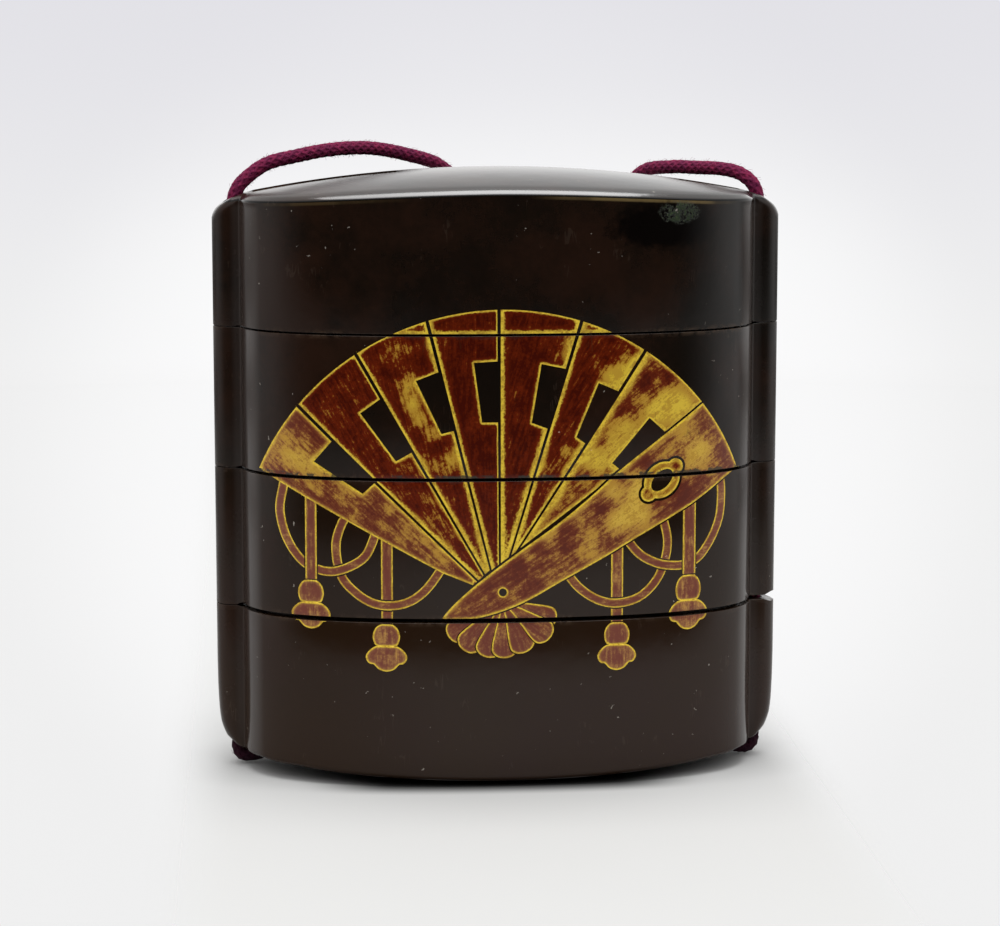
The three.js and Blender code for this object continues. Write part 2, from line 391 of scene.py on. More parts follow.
def seam_rows(s, ring, height, up):
    """The rounded edge at a seam, from the wall to the flat face (up) or the other way."""
    normal = outward(ring)
    edge = s["edge"]
    gap = next(g for level, g in SEAMS if abs(level - height) < 1)
    closed = on_runner(s, ring)
    if gap == SEAMS[-1][1]:
        closed = closed * (ring[:, 0] < 0)
    height = height + (gap / 2 - 0.03) * closed * (1 if up else -1)
    rows = []
    for turn in [math.pi / 2 * k / 4 for k in range(5)]:
        inset = edge * (1 - math.cos(turn))
        drop = edge * (1 - math.sin(turn))
        rows.append(raised(ring - normal * inset, height - drop if up else height + drop))
    return rows if up else rows[::-1]


def prism(s, name, inset, low, high, roof=None):
    """An upright wall of the body's plan, inset all round; roof lets its top follow the dome."""
    ring = plan_line(s, np.linspace(0, 2 * math.pi, 160, endpoint=False), inset)
    if roof is None:
        return loft(name, [raised(ring, low), raised(ring, high)])
    rows = [raised(ring, low)]
    for share in (1, 0.9, 0.8, 0.65, 0.5, 0.35, 0.2, 0.08):
        inner = ring * share
        rows.append(raised(inner, dome_height(s, inner[:, 0], inner[:, 1]) - roof))
    return loft(name, rows, high_point=(0, 0, s["crown"] - roof))


def foot_rows(s):
    """The underside and the foot: runners taper in to the rounded bottom edge."""
    rows = []
    bottom = plan_ring(s, 1.5, 29.45)
    for share in (0.12, 0.3, 0.5, 0.6, 0.68, 0.76, 0.84, 0.9, 0.95, 0.985):
        ring = bottom * share
        lift = (max(0.0, share - 0.6) / 0.4) ** 1.5
        rows.append(raised(ring, foot_edge(s, ring[:, 0] / share) * lift))
    steps = ((29.45, 1.5, 0.22, 0.0), (29.6, 1.54, 0.1, 0.07), (29.8, 1.58, 0.03, 0.18),
             (29.98, 1.63, 0, 0.34), (30.15, 1.7, 0, 0.6), (30.32, 1.77, 0, 0.98),
             (30.5, 1.84, 0, 1.45), (30.66, 1.9, 0, 2.0), (30.76, 1.94, 0, 2.7),
             (30.84, 1.97, 0, 3.5), (30.9, 1.99, 0, 4.6), (30.96, 2.0, 0, 6.2), (31.0, 2.0, 0, 9))
    for reach, radius, inset, rise in steps:
        ring = plan_ring(s, radius, reach)
        edge = foot_edge(s, ring[:, 0])
        rows.append(raised(ring - outward(ring) * inset, edge + rise))
    return rows


def lid_rows(s):
    """The lid's rounded rim and its dome; on a runner the rim turns over more softly."""
    ring = plan_ring(s, s["runner_r"])
    normal = outward(ring)
    runner = on_runner(s, ring)
    rim = ((0, 1.4), (0, 0.72), (0, 0.5), (0.05, 0.42), (0.13, 0.36), (0.3, 0.25),
           (0.48, 0.155), (0.6, 0.105), (0.85, 0.05), (1.2, 0.015), (1.6, 0))
    cap = ((0, 1.9), (0, 1.3), (0, 0.85), (0.07, 0.6), (0.18, 0.38), (0.32, 0.22),
           (0.5, 0.1), (0.7, 0.04), (0.95, 0.01), (1.25, 0), (1.6, 0))
    rows = []
    for (body_in, body_drop), (cap_in, cap_drop) in zip(rim, cap):
        inset = body_in + (cap_in - body_in) * runner
        drop = body_drop + (cap_drop - body_drop) * runner
        inner = ring - normal * inset[:, None]
        level = top_height(s, ring[:, 0] - normal[:, 0] * inset, inner[:, 1])
        rows.append(raised(inner, level - drop))
    last = rows[-1][:, :2]
    for share in (0.97, 0.93, 0.88, 0.82, 0.75, 0.67, 0.58, 0.49, 0.4, 0.31, 0.22, 0.13, 0.06):
        inner = last * share
        rows.append(raised(inner, top_height(s, inner[:, 0], inner[:, 1])))
    return rows


def bore(name, side):
    """The cord's bore through a runner, flared at the lid."""
    profile = [(BORE_RADIUS, -1), (BORE_RADIUS, 62.3), (1.15, 62.75), (1.45, 63.3), (1.6, 64.1)]
    return turned(name, profile, (side * BORE_X, 0), 32)


def chip_tool(s, name, height, drop):
    """A thin broken wedge at the right runner's edge that opens outwards."""
    reach = s["runner_x"] + s["runner_r"]
    rows = []
    for y, inner, deep in ((-2.6, 1.2, 0.25), (-1.3, 1.75, 0.42), (-0.4, 1.45, 0.33),
                           (0.5, 1.65, 0.4), (1.6, 1.2, 0.28), (2.6, 0.9, 0.2)):
        outline = ((reach - inner, 0), (reach + 0.3, 0), (reach + 0.3, deep),
                   (reach - inner * 0.35, deep * 0.72))
        sign = 1 if drop > 0 else -1
        ring = [(x, y, height + sign * (z - 0.03 if z == 0 else z)) for x, z in outline]
        rows.append(np.array(ring if drop > 0 else ring[::-1]))
    return loft(name, rows)


def tier_bounds(index):
    """Lower and upper height of a tier, counted from the lowest case."""
    edges = SEAMS[::-1]
    low = edges[index - 1][0] + edges[index - 1][1] / 2 if index else 0
    high = edges[index][0] - edges[index][1] / 2 if index < LID else None
    return low, high


def build_tier(index):
    """One case or the lid: outside, riser, hollow, socket, bores and groove."""
    s = sizes()
    low, high = tier_bounds(index)
    ring = plan_ring(s, s["runner_r"])
    rows = seam_rows(s, ring, low, up=False) if index else foot_rows(s)
    rows += seam_rows(s, ring, high, up=True) if index < LID else lid_rows(s)
    body = loft("body", rows, None if index else (0, 0, 0),
                None if index < LID else (0, 0, s["crown"]))
    tools = [bore("bore", -1), bore("bore", 1)]
    added = []
    if index < LID:
        added.append(prism(s, "riser", RISER_INSET, high - 1, high + RISER_HEIGHT))
        floor = low + FLOOR_THICKNESS if index else LOWEST_FLOOR
        tools.append(prism(s, "hollow", HOLLOW_INSET, floor, high + RISER_HEIGHT + 1.8))
    else:
        tools.append(prism(s, "hollow", HOLLOW_INSET, low - 1, 0, roof=ROOF_THICKNESS))
    if index > 0:
        tools.append(prism(s, "socket", SOCKET_INSET, low - 1, low + SOCKET_HEIGHT))
    else:
        tools.append(block("groove", (-BORE_X, -BORE_RADIUS, -1), (BORE_X, BORE_RADIUS, GROOVE_TOP)))
        tools.append(chip_tool(s, "chip", high, -1))
    if index == 1:
        tools.append(chip_tool(s, "chip", low, 1))
    for tool in (body, *added, *tools):
        bm = bmesh.new()
        bm.from_mesh(tool.data)
        bmesh.ops.recalc_face_normals(bm, faces=bm.faces)
        bm.to_mesh(tool.data)
        bm.free()
    joined(body, added, "UNION")
    joined(body, tools, "DIFFERENCE")
    piece = plain_mesh(body, TIERS[index] + "_lacquer")
    for tool in (*added, *tools):
        bpy.data.objects.remove(tool, do_unlink=True)
    mesh = piece.data
    covered(mesh, lacquer_material(), 38)
    place = np.empty(len(mesh.vertices) * 3)
    mesh.vertices.foreach_get("co", place)
    place = place.reshape(-1, 3) / MM
    keep_values(mesh, "below_rim", dome_height(s, place[:, 0], place[:, 1]) - place[:, 2])
    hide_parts(TIERS[index])
    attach(piece, "root")
    return piece


# ---------------------------------------------------------------- node helpers


class Signal:
    """A node's output that can be reckoned with: every step adds a Math node behind it."""

    def __init__(self, socket):
        self.socket = socket
        self.tree = socket.id_data

    def __getitem__(self, name):
        """Another output of the same node."""
        return Signal(self.socket.node.outputs[name])

    def __add__(self, other):
        return calc("ADD", self, other)

    def __sub__(self, other):
        return calc("SUBTRACT", self, other)

    def __rsub__(self, other):
        return calc("SUBTRACT", other, self)

    def __mul__(self, other):
        return calc("MULTIPLY", self, other)

    def __truediv__(self, other):
        return calc("DIVIDE", self, other)

    def __rtruediv__(self, other):
        return calc("DIVIDE", other, self)

    def __pow__(self, other):
        return calc("POWER", self, other)

    def __abs__(self):
        return calc("ABSOLUTE", self)


def node(tree, kind, inputs=None, out=0, **settings):
    """A new node's output; an input is a value or another node's output."""
    made = tree.nodes.new(kind)
    for key, value in settings.items():
        setattr(made, key, value)
    for key, value in (inputs or {}).items():
        if isinstance(value, Signal):
            tree.links.new(value.socket, made.inputs[key])
        else:
            made.inputs[key].default_value = value
    return Signal(made.outputs[out]) if made.outputs else None


def calc(operation, *values, clamp=False):
    """A Math node's result; at least one of the values is a Signal."""
    tree = next(value.tree for value in values if isinstance(value, Signal))
    return node(tree, "ShaderNodeMath", dict(enumerate(values)), operation=operation,
                use_clamp=clamp)


def vector_calc(operation, first, second, out=0):
    """A Vector Math node's result."""
    return node(first.tree, "ShaderNodeVectorMath", {0: first, 1: second}, out,
                operation=operation)


def scaled(vector, share):
    """A vector times a number."""
    return node(vector.tree, "ShaderNodeVectorMath", {0: vector, "Scale": share},
                operation="SCALE")


def span(value, start, end, first=0.0, last=1.0):
    """A smooth step of value from start to end."""
    return node(value.tree, "ShaderNodeMapRange",
                {"Value": value, "From Min": start, "From Max": end, "To Min": first,
                 "To Max": last}, interpolation_type="SMOOTHSTEP")


def blend_colour(share, first, second):
    """Two colours mixed; one given as three numbers is opaque."""
    first, second = [tone if isinstance(tone, Signal) else (*tone, 1.0)[:4]
                     for tone in (first, second)]
    return node(share.tree, "ShaderNodeMix", {0: share, 6: first, 7: second}, 2,
                data_type="RGBA")


def blend_value(share, first, second):
    """Two values mixed."""
    return node(share.tree, "ShaderNodeMix", {0: share, 2: first, 3: second})


def cloud(where, scale, detail=3.0, rough=0.55, out="Fac"):
    """Noise."""
    return node(where.tree, "ShaderNodeTexNoise",
                {"Vector": where, "Scale": scale, "Detail": detail, "Roughness": rough}, out)


def stored(tree, name, out="Fac"):
    """An attribute of the mesh."""
    return node(tree, "ShaderNodeAttribute", None, out, attribute_name=name)


def principled(tree, inputs):
    """A Principled shader, linked to a new material output."""
    shader = node(tree, "ShaderNodeBsdfPrincipled", inputs)
    node(tree, "ShaderNodeOutputMaterial", {"Surface": shader})


def times(colour, *shares):
    """A colour with its channels multiplied, by one share or by one each."""
    return [c * share for c, share in zip(colour, shares * 3 if len(shares) == 1 else shares)]


def emptied(owner):
    """The node tree of a new material or world, with nothing in it."""
    owner.use_nodes = True
    owner.node_tree.nodes.clear()
    return owner.node_tree


def new_group(name, kind, inputs, output):
    """A node group with named sockets (label, kind, default), and its Group Input."""
    tree = bpy.data.node_groups.new(name, kind)
    for label, value_kind, default in inputs:
        made = tree.interface.new_socket(
            label, in_out="INPUT", socket_type="NodeSocket" + value_kind)
        if default is not None:
            made.default_value = default
    tree.interface.new_socket(
        output[0], in_out="OUTPUT", socket_type="NodeSocket" + output[1])
    return tree, node(tree, "NodeGroupInput")


def dust_group():
    """Small pale specks of dust and lint, denser where a soft cloud says so."""
    name = "Dust Specks"
    if name in bpy.data.node_groups:
        return bpy.data.node_groups[name]
    tree, start = new_group(
        name, "ShaderNodeTree",
        (("Where", "Vector", None), ("Size", "Float", 0.12), ("Spread", "Float", 0.7),
         ("Share", "Float", 0.2)), ("Specks", "Float"))
    where = start["Where"]
    scale = 1.0 / start["Spread"]
    bent = vector_calc("ADD", where, cloud(where, 2.5, 1.0, out="Color"))
    cells = node(tree, "ShaderNodeTexVoronoi", {"Vector": bent, "Scale": scale})
    chance = node(tree, "ShaderNodeSeparateColor", {"Color": cells["Color"]})
    speck = calc("LESS_THAN", cells["Distance"], start["Size"] * scale * chance["Green"])
    share = start["Share"] * span(cloud(where, 0.09, 2.0), 0.35, 0.7)
    kept = calc("LESS_THAN", chance["Red"], share)
    node(tree, "NodeGroupOutput", {"Specks": speck * kept})
    return tree


def scratch_group():
    """Fine hairline scratches in three directions."""
    name = "Hairline Scratches"
    if name in bpy.data.node_groups:
        return bpy.data.node_groups[name]
    tree, start = new_group(
        name, "ShaderNodeTree",
        (("Where", "Vector", None), ("Width", "Float", 0.02), ("Amount", "Float", 0.5)),
        ("Scratches", "Float"))
    where = start["Where"]
    total = None
    for turn, stretch, shift in ((0.5, 0.12, 0.0), (-1.1, 0.16, 31.0), (0.05, 0.1, 67.0)):
        run = node(tree, "ShaderNodeMapping", {
            "Vector": where, "Location": (shift, 0, shift), "Rotation": (0, turn, 0),
            "Scale": (1.0, 1.0, stretch)})
        line = calc("LESS_THAN", abs(cloud(run, 0.55, 2.0, 0.5) - 0.5), start["Width"] * 0.06)
        line = line * span(cloud(where, 0.35, 3.0), 0.62, 0.66)
        total = calc("MAXIMUM", total, line) if total else line
    node(tree, "NodeGroupOutput", {"Scratches": total * start["Amount"]})
    return tree


def seam_group():
    """1 at the edges of the three seams, falling off over a given width."""
    name = "Seam Nearness"
    if name in bpy.data.node_groups:
        return bpy.data.node_groups[name]
    tree, start = new_group(
        name, "ShaderNodeTree", (("Height", "Float", 0.0), ("Width", "Float", 0.5)),
        ("Near", "Float"))
    total = None
    for height, gap in SEAMS:
        share = (abs(start["Height"] - height) - gap / 2) / start["Width"]
        near = calc("SUBTRACT", 1.0, share, clamp=True)
        total = calc("MAXIMUM", total, near) if total else near
    node(tree, "NodeGroupOutput", {"Near": total})
    return tree


def in_mm(tree):
    """Object coordinates in millimetres, whole and split."""
    where = scaled(node(tree, "ShaderNodeTexCoord", None, "Object"), 1 / MM)
    split = node(tree, "ShaderNodeSeparateXYZ", {0: where})
    return where, split["X"], split["Y"], split["Z"]


def spot(x, z, centre, radii, ragged, soft):
    """A ragged oval patch on the front: 1 inside, 0 outside."""
    dx = (x - centre[0]) / radii[0]
    dz = (z - centre[1]) / radii[1]
    away = calc("SQRT", dx * dx + dz * dz) + ragged
    return span(away, 1 - soft, 1 + soft, 1.0, 0.0)


def lacquer_material():
    """Brown-black lacquer, polished by handling, with dust, scratches and worn edges, and some painted
    light and shade.
    """
    name = "inro_lacquer"
    if name in bpy.data.materials:
        return bpy.data.materials[name]
    body = bpy.context.scene.inro_body
    material = bpy.data.materials.new(name)
    tree = emptied(material)
    where, x, y, z = in_mm(tree)
    away = abs(x)
    below = stored(tree, "below_rim")
    broad = cloud(where, 0.06, 3.0, 0.6)
    fine = cloud(where, 1.4, 4.0, 0.6)
    patchy = cloud(where, 0.3, 3.0)
    grit = cloud(where, 7.0, 5.0, 0.8)
    # Lighter, browner lacquer towards the bottom: painted light standing in for the pale floor's
    # bounce
    low = span(z, 50, 2)
    deep = blend_colour(low, body.lacquer, times(body.lacquer, 3.6, 2.5, 1.7))
    warm = blend_colour(low, body.worn, times(body.worn, 1.15))
    colour = blend_colour(span(broad + fine * 0.2, 0.5, 0.78), deep, warm)
    # A worn ochre band just under the lid's rim
    right = span(x, 2, 11) * span(x, 20, 26, 1, 0)
    left = span(x, -9, -17, 0, 0.25) * span(x, -24, -26, 1, 0)
    band = span(below, 0.55, 0.62) * span(below, 0.78, 1.0, 1, 0) * calc("MAXIMUM", left, right)
    band = band * span(y, 0, -4) * span(patchy, 0.3, 0.55, 0.35, 1.0)
    colour = blend_colour(band * 0.85, colour, (0.17, 0.12, 0.05))
    # A thin near-black line at the rim's rounded edge: painted shade
    line = span(below, 0.38, 0.42) * span(below, 0.55, 0.62, 1, 0)
    colour = blend_colour(line, colour, (0.002, 0.0015, 0.001))
    # Seam edges rubbed to a lighter brown
    seam = node(tree, "ShaderNodeGroup", {"Height": z, "Width": 0.5}, node_tree=seam_group())
    rubbed = seam * span(patchy, 0.42, 0.62, 0.15, 1) * span(fine, 0.35, 0.6)
    colour = blend_colour(rubbed * 0.75, colour, (0.05, 0.03, 0.018))
    # A darker retouched blotch and a green chipped patch at the lid's right shoulder
    ragged = (fine - 0.5) * 0.9
    front = span(y, -2.0, -4.0)
    blotch = spot(x, z, (17.0, 60.3), (5.4, 2.3), ragged, 0.3) * front
    colour = blend_colour(blotch * 0.9, colour, (0.002, 0.0012, 0.001))
    green = spot(x, z, (18.7, 61.7), (2.1, 1.2), ragged * 1.6, 0.2) * front
    green = green * span(grit + fine * 1.2, 1.06, 1.16)
    green_tone = blend_colour(span(grit, 0.48, 0.62), (0.007, 0.016, 0.005), (0.04, 0.065, 0.018))
    green_tone = blend_colour(span(grit, 0.62, 0.7), green_tone, (0.2, 0.2, 0.1))
    colour = blend_colour(green, colour, green_tone)
    # A pale band in the corner between wall and runner: a painted highlight
    corner = (span(away, 25.8, 26.9) * span(away, 27.8, 27.3, 0.3, 1.0) * span(away, 29.2, 28.4)
              * span(below, 0.6, 1.4) * span(z, 2, 30, 0.5, 0.85))
    colour = blend_colour(corner, colour, (0.07, 0.06, 0.056))
    # Loose dust and fine scratches
    dust = node(tree, "ShaderNodeGroup", {"Where": where, "Size": 0.13, "Spread": 0.85,
                                          "Share": 0.3}, node_tree=dust_group())
    colour = blend_colour(dust * 0.6, colour, (0.42, 0.38, 0.33))
    scratch = node(tree, "ShaderNodeGroup", {"Where": where, "Width": 0.1, "Amount": 0.5},
                   node_tree=scratch_group())
    colour = blend_colour(scratch * 0.14, colour, (0.16, 0.12, 0.09))
    rough = span(cloud(where, 0.16, 4.0, 0.65), 0.3, 0.75, 0.09, 0.17)
    rough = blend_value(span(below, 0.3, 0.02), rough, 0.3) + span(away, 27.3, 28.3, 0.0, 0.14)
    rough = calc("ADD", rough + rubbed * 0.2 + dust * 0.4, green * 0.45, clamp=True)
    bump = (cloud(where, 0.35, 2.0, 0.5) * 0.02 + fine * 0.0016 + green * (grit * 0.05)
            + dust * 0.01)
    normal = node(tree, "ShaderNodeBump", {"Height": bump, "Strength": 1.0, "Distance": MM})
    # The polish is strongest on the rim and worn off where the cord lies on the dome's back
    matt = (calc("MAXIMUM", span(x, -7, -11), span(x, 17, 20)) * span(y, -3.2, -1.6)
            * span(below, 0.2, 0.05) * span(away, 27.5, 26.5))
    polish = calc("MINIMUM", span(below, 0.46, 0.3, 0.26, 1.0), span(below, 0.02, 0.06, 0.7, 1.0))
    polish = polish * span(x, -22, -2, 0.65, 1.0) * (1.0 - matt)
    principled(tree, {"Base Color": colour, "Roughness": rough, "Normal": normal, "IOR": 1.5,
                      "Specular IOR Level": polish})
    return material


def picture_material():
    """Red lacquer with sprinkled gold: crisp gold outlines, rubbed gold fields, brush streaks."""
    name = "fan_lacquer"
    if name in bpy.data.materials:
        return bpy.data.materials[name]
    picture = bpy.context.scene.inro_picture
    red, gold = picture.red, picture.gold
    material = bpy.data.materials.new(name)
    tree = emptied(material)
    where, _, _, z = in_mm(tree)
    line, gild, faded = [stored(tree, label) for label in ("line_near", "gilding", "faded")]
    fine = cloud(where, 2.6, 4.0, 0.65)
    mottle = cloud(where, 0.55, 4.0, 0.62)
    ragged = cloud(where, 6.0, 3.0, 0.7)
    stretched = node(tree, "ShaderNodeMapping", {
        "Vector": stored(tree, "brush", "Vector"), "Scale": (3.2, 0.4, 1.0)})
    streak = cloud(stretched, 1.0, 4.0, 0.6)

    def noise(*shares):
        """The four noises about zero, each with its share, added up."""
        total = 0.0
        for field, share in zip((fine, mottle, ragged, streak), shares):
            total = (field - 0.5) * share + total
        return total

    wobble = noise(1.6, 1.0, 0.9, 0) * span(line, 0.1, 0.8, 0.4, 1.0) + faded * 0.14
    core = span(line + wobble, 0.5, 1.0, 1.0, 0.0)
    halo = span(line + noise(4.0, 5.0, 2.5, 3.5), 0.2, 1.9, 0.46, 0.0)
    halo = halo * span(faded, 0.0, 1.0, 1.0, 0.4)
    field = gild + halo + noise(0.7, 1.15, 0.5, 1.1)
    ramp = node(tree, "ShaderNodeValToRGB", {"Fac": field + 0.1})
    stops = ramp.socket.node.color_ramp.elements
    tones = (
        (0.0, times(red, 0.38, 0.3, 0.5)), (0.22, times(red, 0.7)), (0.42, red),
        (0.54, times(gold, 0.4, 0.22, 0.3)), (0.7, times(gold, 0.66, 0.52, 0.55)), (0.92, gold))
    while len(stops) < len(tones):
        stops.new(0.5)
    for stop, (place, tone) in zip(stops, tones):
        stop.position = place
        stop.color = (*tone, 1.0)
    mauve = blend_colour(span(field, 0.05, 0.85), (0.19, 0.052, 0.032), (0.66, 0.38, 0.1))
    colour = blend_colour(faded, ramp, mauve)
    bright = blend_colour(span(fine + noise(0, 0.8, 0, 0), 0.3, 0.62),
                          times(gold, 0.62, 0.5, 0.6), times(gold, 1.15))
    # Rubbed through to a browner gold in streaks
    worn = span(noise(1.3, 1.6, 0.8, 1.8), -0.12, 0.3, 0.0, 0.6) * span(field, 0.4, 0.75)
    colour = blend_colour(worn, colour, times(gold, 0.5, 0.3, 0.4))
    colour = blend_colour(core, colour, bright)
    gold_share = calc("MAXIMUM", core, span(field, 0.35, 0.85))
    # Flaked off along the seams
    seam = node(tree, "ShaderNodeGroup", {"Height": z, "Width": 0.75}, node_tree=seam_group())
    lost = span(seam + noise(1.2, 0, 0.6, 0), 0.5, 0.62)
    lost = lost * span(cloud(where, 0.6, 3.0), 0.44, 0.52)
    lost = lost * span(abs(z - 33.9), 0.35, 0.6, 1.0, 0.2)
    colour = blend_colour(lost * 0.85, colour, (0.036, 0.035, 0.027))
    dust = node(tree, "ShaderNodeGroup", {"Where": where, "Size": 0.16, "Spread": 1.2,
                                          "Share": 0.2}, node_tree=dust_group())
    colour = blend_colour(dust * 0.5, colour, (0.75, 0.5, 0.36))
    scratch = node(tree, "ShaderNodeGroup", {"Where": where, "Width": 0.12, "Amount": 0.4},
                   node_tree=scratch_group())
    colour = blend_colour(scratch * 0.8, colour, (0.06, 0.03, 0.012))
    normal = node(tree, "ShaderNodeBump", {"Height": fine * 0.006 + gold_share * 0.012,
                                           "Strength": 0.8, "Distance": MM})
    principled(tree, {
        "Base Color": colour, "Roughness": blend_value(gold_share, 0.14, 0.3) + mottle * 0.1,
        "Metallic": gold_share * 0.08, "Normal": normal, "Specular IOR Level": 0.22})
    return material


def silk_material():
    """Matt dyed silk, lighter on the loose fibres and darker between the yarns, with painted shade low
    down.
    """
    name = "dyed_silk"
    if name in bpy.data.materials:
        return bpy.data.materials[name]
    silk = bpy.context.scene.inro_cord.silk
    material = bpy.data.materials.new(name)
    tree = emptied(material)
    where, _, _, z = in_mm(tree)
    tone = cloud(where, 1.1, 3.0, 0.6)
    thread = cloud(where, 9.0, 2.0, 0.6)
    pale, deep = times(silk, 1.35, 1.3, 1.7), times(silk, 0.5, 0.5, 0.7)
    shade = calc("FRACT", stored(tree, "yarn") * 0.618)
    colour = blend_colour(span(tone, 0.35, 0.7), deep, silk)
    colour = blend_colour(shade * 0.2, colour, deep)
    colour = blend_colour(span(thread, 0.5, 0.75, 0.0, 0.45), colour, pale)
    colour = blend_colour(stored(tree, "loose") * 0.6, colour, pale)
    # Painted shade: nearly black below 4.5 mm, where the cord lies in shadow under the case
    colour = blend_colour(span(z, 4.5, 3.0, 0.0, 0.92), colour, (0.012, 0.004, 0.008))
    bump = node(tree, "ShaderNodeBump", {"Height": thread, "Strength": 0.6, "Distance": 0.05 * MM})
    principled(tree, {
        "Base Color": colour, "Roughness": span(tone, 0.3, 0.7, 0.75, 0.9), "Normal": bump,
        "Sheen Weight": 0.04, "Sheen Roughness": 0.4, "Specular IOR Level": 0.1})
    return material


# ---------------------------------------------------------------- cord


def smooth_route(knots, steps):
    """A centripetal Catmull-Rom curve through the knots, steps points to its end."""
    points = [np.array(k, float) for k in knots]
    points = [2 * points[0] - points[1], *points, 2 * points[-1] - points[-2]]
    made = []
    last = len(knots) - 1
    for k in range(steps + 1):
        place = min(k / steps * last, last - 1e-9)
        i = int(place)
        t = place - i
        a, b, c, d = points[i:i + 4]
        spans = [max(np.linalg.norm(q - p) ** 0.5, 1e-6) for p, q in ((a, b), (b, c), (c, d))]
        out = (b - a) / spans[0] - (c - a) / (spans[0] + spans[1]) + (c - b) / spans[1]
        into = (c - b) / spans[1] - (d - b) / (spans[1] + spans[2]) + (d - c) / spans[2]
        out, into = out * spans[1], into * spans[1]
        t2, t3 = t * t, t * t * t
        made.append((2 * t3 - 3 * t2 + 1) * b + (t3 - 2 * t2 + t) * out
                    + (3 * t2 - 2 * t3) * c + (t3 - t2) * into)
    return made


def threaded_route():
    """The held stretch: down the left bore, under the base and up the right bore."""
    left = [(-28.8, 0, z) for z in (62.0, 48.95, 33.5, 18.25, 8, 4)]
    turn = [(-28.8 + 0.9 * (1 - math.cos(a)), 0, 1.8 - 0.9 * math.sin(a))
            for a in np.linspace(0, math.pi / 2, 9)]
    rise = [(-27.2, 0, 0.95), (-26.4, 0, 1.15), (-25.6, 0, 1.45), (-24.8, 0, 1.65), (-24, 0, 1.72)]
    half = [*left, *turn, *rise, (-14, 0, 1.75)]
    return [*half, (0, 0, 1.75), *[(-x, y, z) for x, y, z in reversed(half)]]


def braid_tree():
    """Yarns wound both ways round a path, over and under, with stray fibres on them."""
    name = "Silk Braid"
    if name in bpy.data.node_groups:
        return bpy.data.node_groups[name]
    tree, start = new_group(
        name, "GeometryNodeTree",
        (("Path", "Geometry", None), ("Diameter", "Float", 0.0015), ("Strands", "Int", 12),
         ("Pitch", "Float", 0.0062), ("Step", "Float", 0.0003), ("Fibre Density", "Float", 3e6),
         ("Fibre Length", "Float", 0.0004), ("Seed", "Int", 7), ("Material", "Material", None)),
        ("Cord", "Geometry"))
    seed = start["Seed"]

    def geo(kind, inputs=None, **settings):
        """The first output of a new Geometry node."""
        return node(tree, "GeometryNode" + kind, inputs, **settings)

    def swept(line, sides, size, caps=True):
        """A round profile with so many sides, swept along a curve."""
        ring = geo("CurvePrimitiveCircle", {"Resolution": sides, "Radius": size})
        return geo("CurveToMesh", {"Curve": line, "Profile Curve": ring, "Fill Caps": caps})

    def marked(shape, label, value):
        """The shape with a named value on its points."""
        return geo("StoreNamedAttribute", {"Geometry": shape, "Name": label, "Value": value},
                   data_type="FLOAT", domain="POINT")

    path = geo("ResampleCurve", {"Curve": start["Path"], "Length": start["Step"]}, mode="LENGTH")
    copies = geo("DuplicateElements", {"Geometry": path, "Amount": start["Strands"]},
                 domain="SPLINE")
    index = copies["Duplicate Index"]
    radius = start["Diameter"] * 0.5
    ply = start["Strands"] * 0.5
    side = calc("MODULO", index, 2.0) * 2.0 - 1.0
    first = calc("FLOOR", index * 0.5) / ply * (2 * math.pi)
    wound = geo("SplineParameter")["Length"] / start["Pitch"] * (2 * math.pi)
    angle = first + wound * side
    wave = calc("COSINE", angle * ply) * side * (radius * 0.02)
    out = radius * 0.69 + wave
    normal = geo("InputNormal")
    across = vector_calc("CROSS_PRODUCT", geo("InputTangent"), normal)
    aside = vector_calc("ADD", scaled(normal, calc("COSINE", angle) * out),
                        scaled(across, calc("SINE", angle) * out))
    laid = geo("SetPosition", {"Geometry": copies["Geometry"], "Offset": aside})
    yarns = swept(marked(laid, "yarn", index), 6, radius * 0.3)
    core = swept(path, 8, radius * 0.88)
    # Stray fibres, sown on a hidden skin round the braid
    sown = geo("DistributePointsOnFaces", {
        "Mesh": swept(path, 12, radius * 0.9, False), "Density": start["Fibre Density"],
        "Seed": seed})
    lean = node(tree, "FunctionNodeRandomValue", {
        "Min": (-1.3, -1.3, -1.3), "Max": (1.3, 1.3, 1.3), "Seed": seed}, "Value",
        data_type="FLOAT_VECTOR")
    stand = node(tree, "FunctionNodeAlignRotationToVector",
                 {"Vector": vector_calc("ADD", sown["Normal"], lean)}, axis="Z")
    strand = geo("CurveQuadraticBezier", {
        "Resolution": 3, "Start": (-0.2, 0, -0.15), "Middle": (0.1, 0.1, 0.5),
        "End": (0.9, 0.2, 0.45)})
    grown = node(tree, "FunctionNodeRandomValue", {2: 0.4, 3: 1.2, "Seed": seed}, 1,
                 data_type="FLOAT")
    fuzz = geo("InstanceOnPoints", {
        "Points": sown["Points"], "Instance": swept(strand, 3, 0.028), "Rotation": stand,
        "Scale": grown * start["Fibre Length"]})
    fuzz = marked(geo("RealizeInstances", {"Geometry": fuzz}), "loose", 1.0)
    whole = geo("JoinGeometry")
    for part in (fuzz, core, yarns):
        tree.links.new(part.socket, whole.socket.node.inputs[0])
    smooth = geo("SetShadeSmooth", {"Geometry": geo("RealizeInstances", {"Geometry": whole})})
    done = geo("SetMaterial", {"Geometry": smooth, "Material": start["Material"]})
    node(tree, "NodeGroupOutput", {"Cord": done})
    return tree


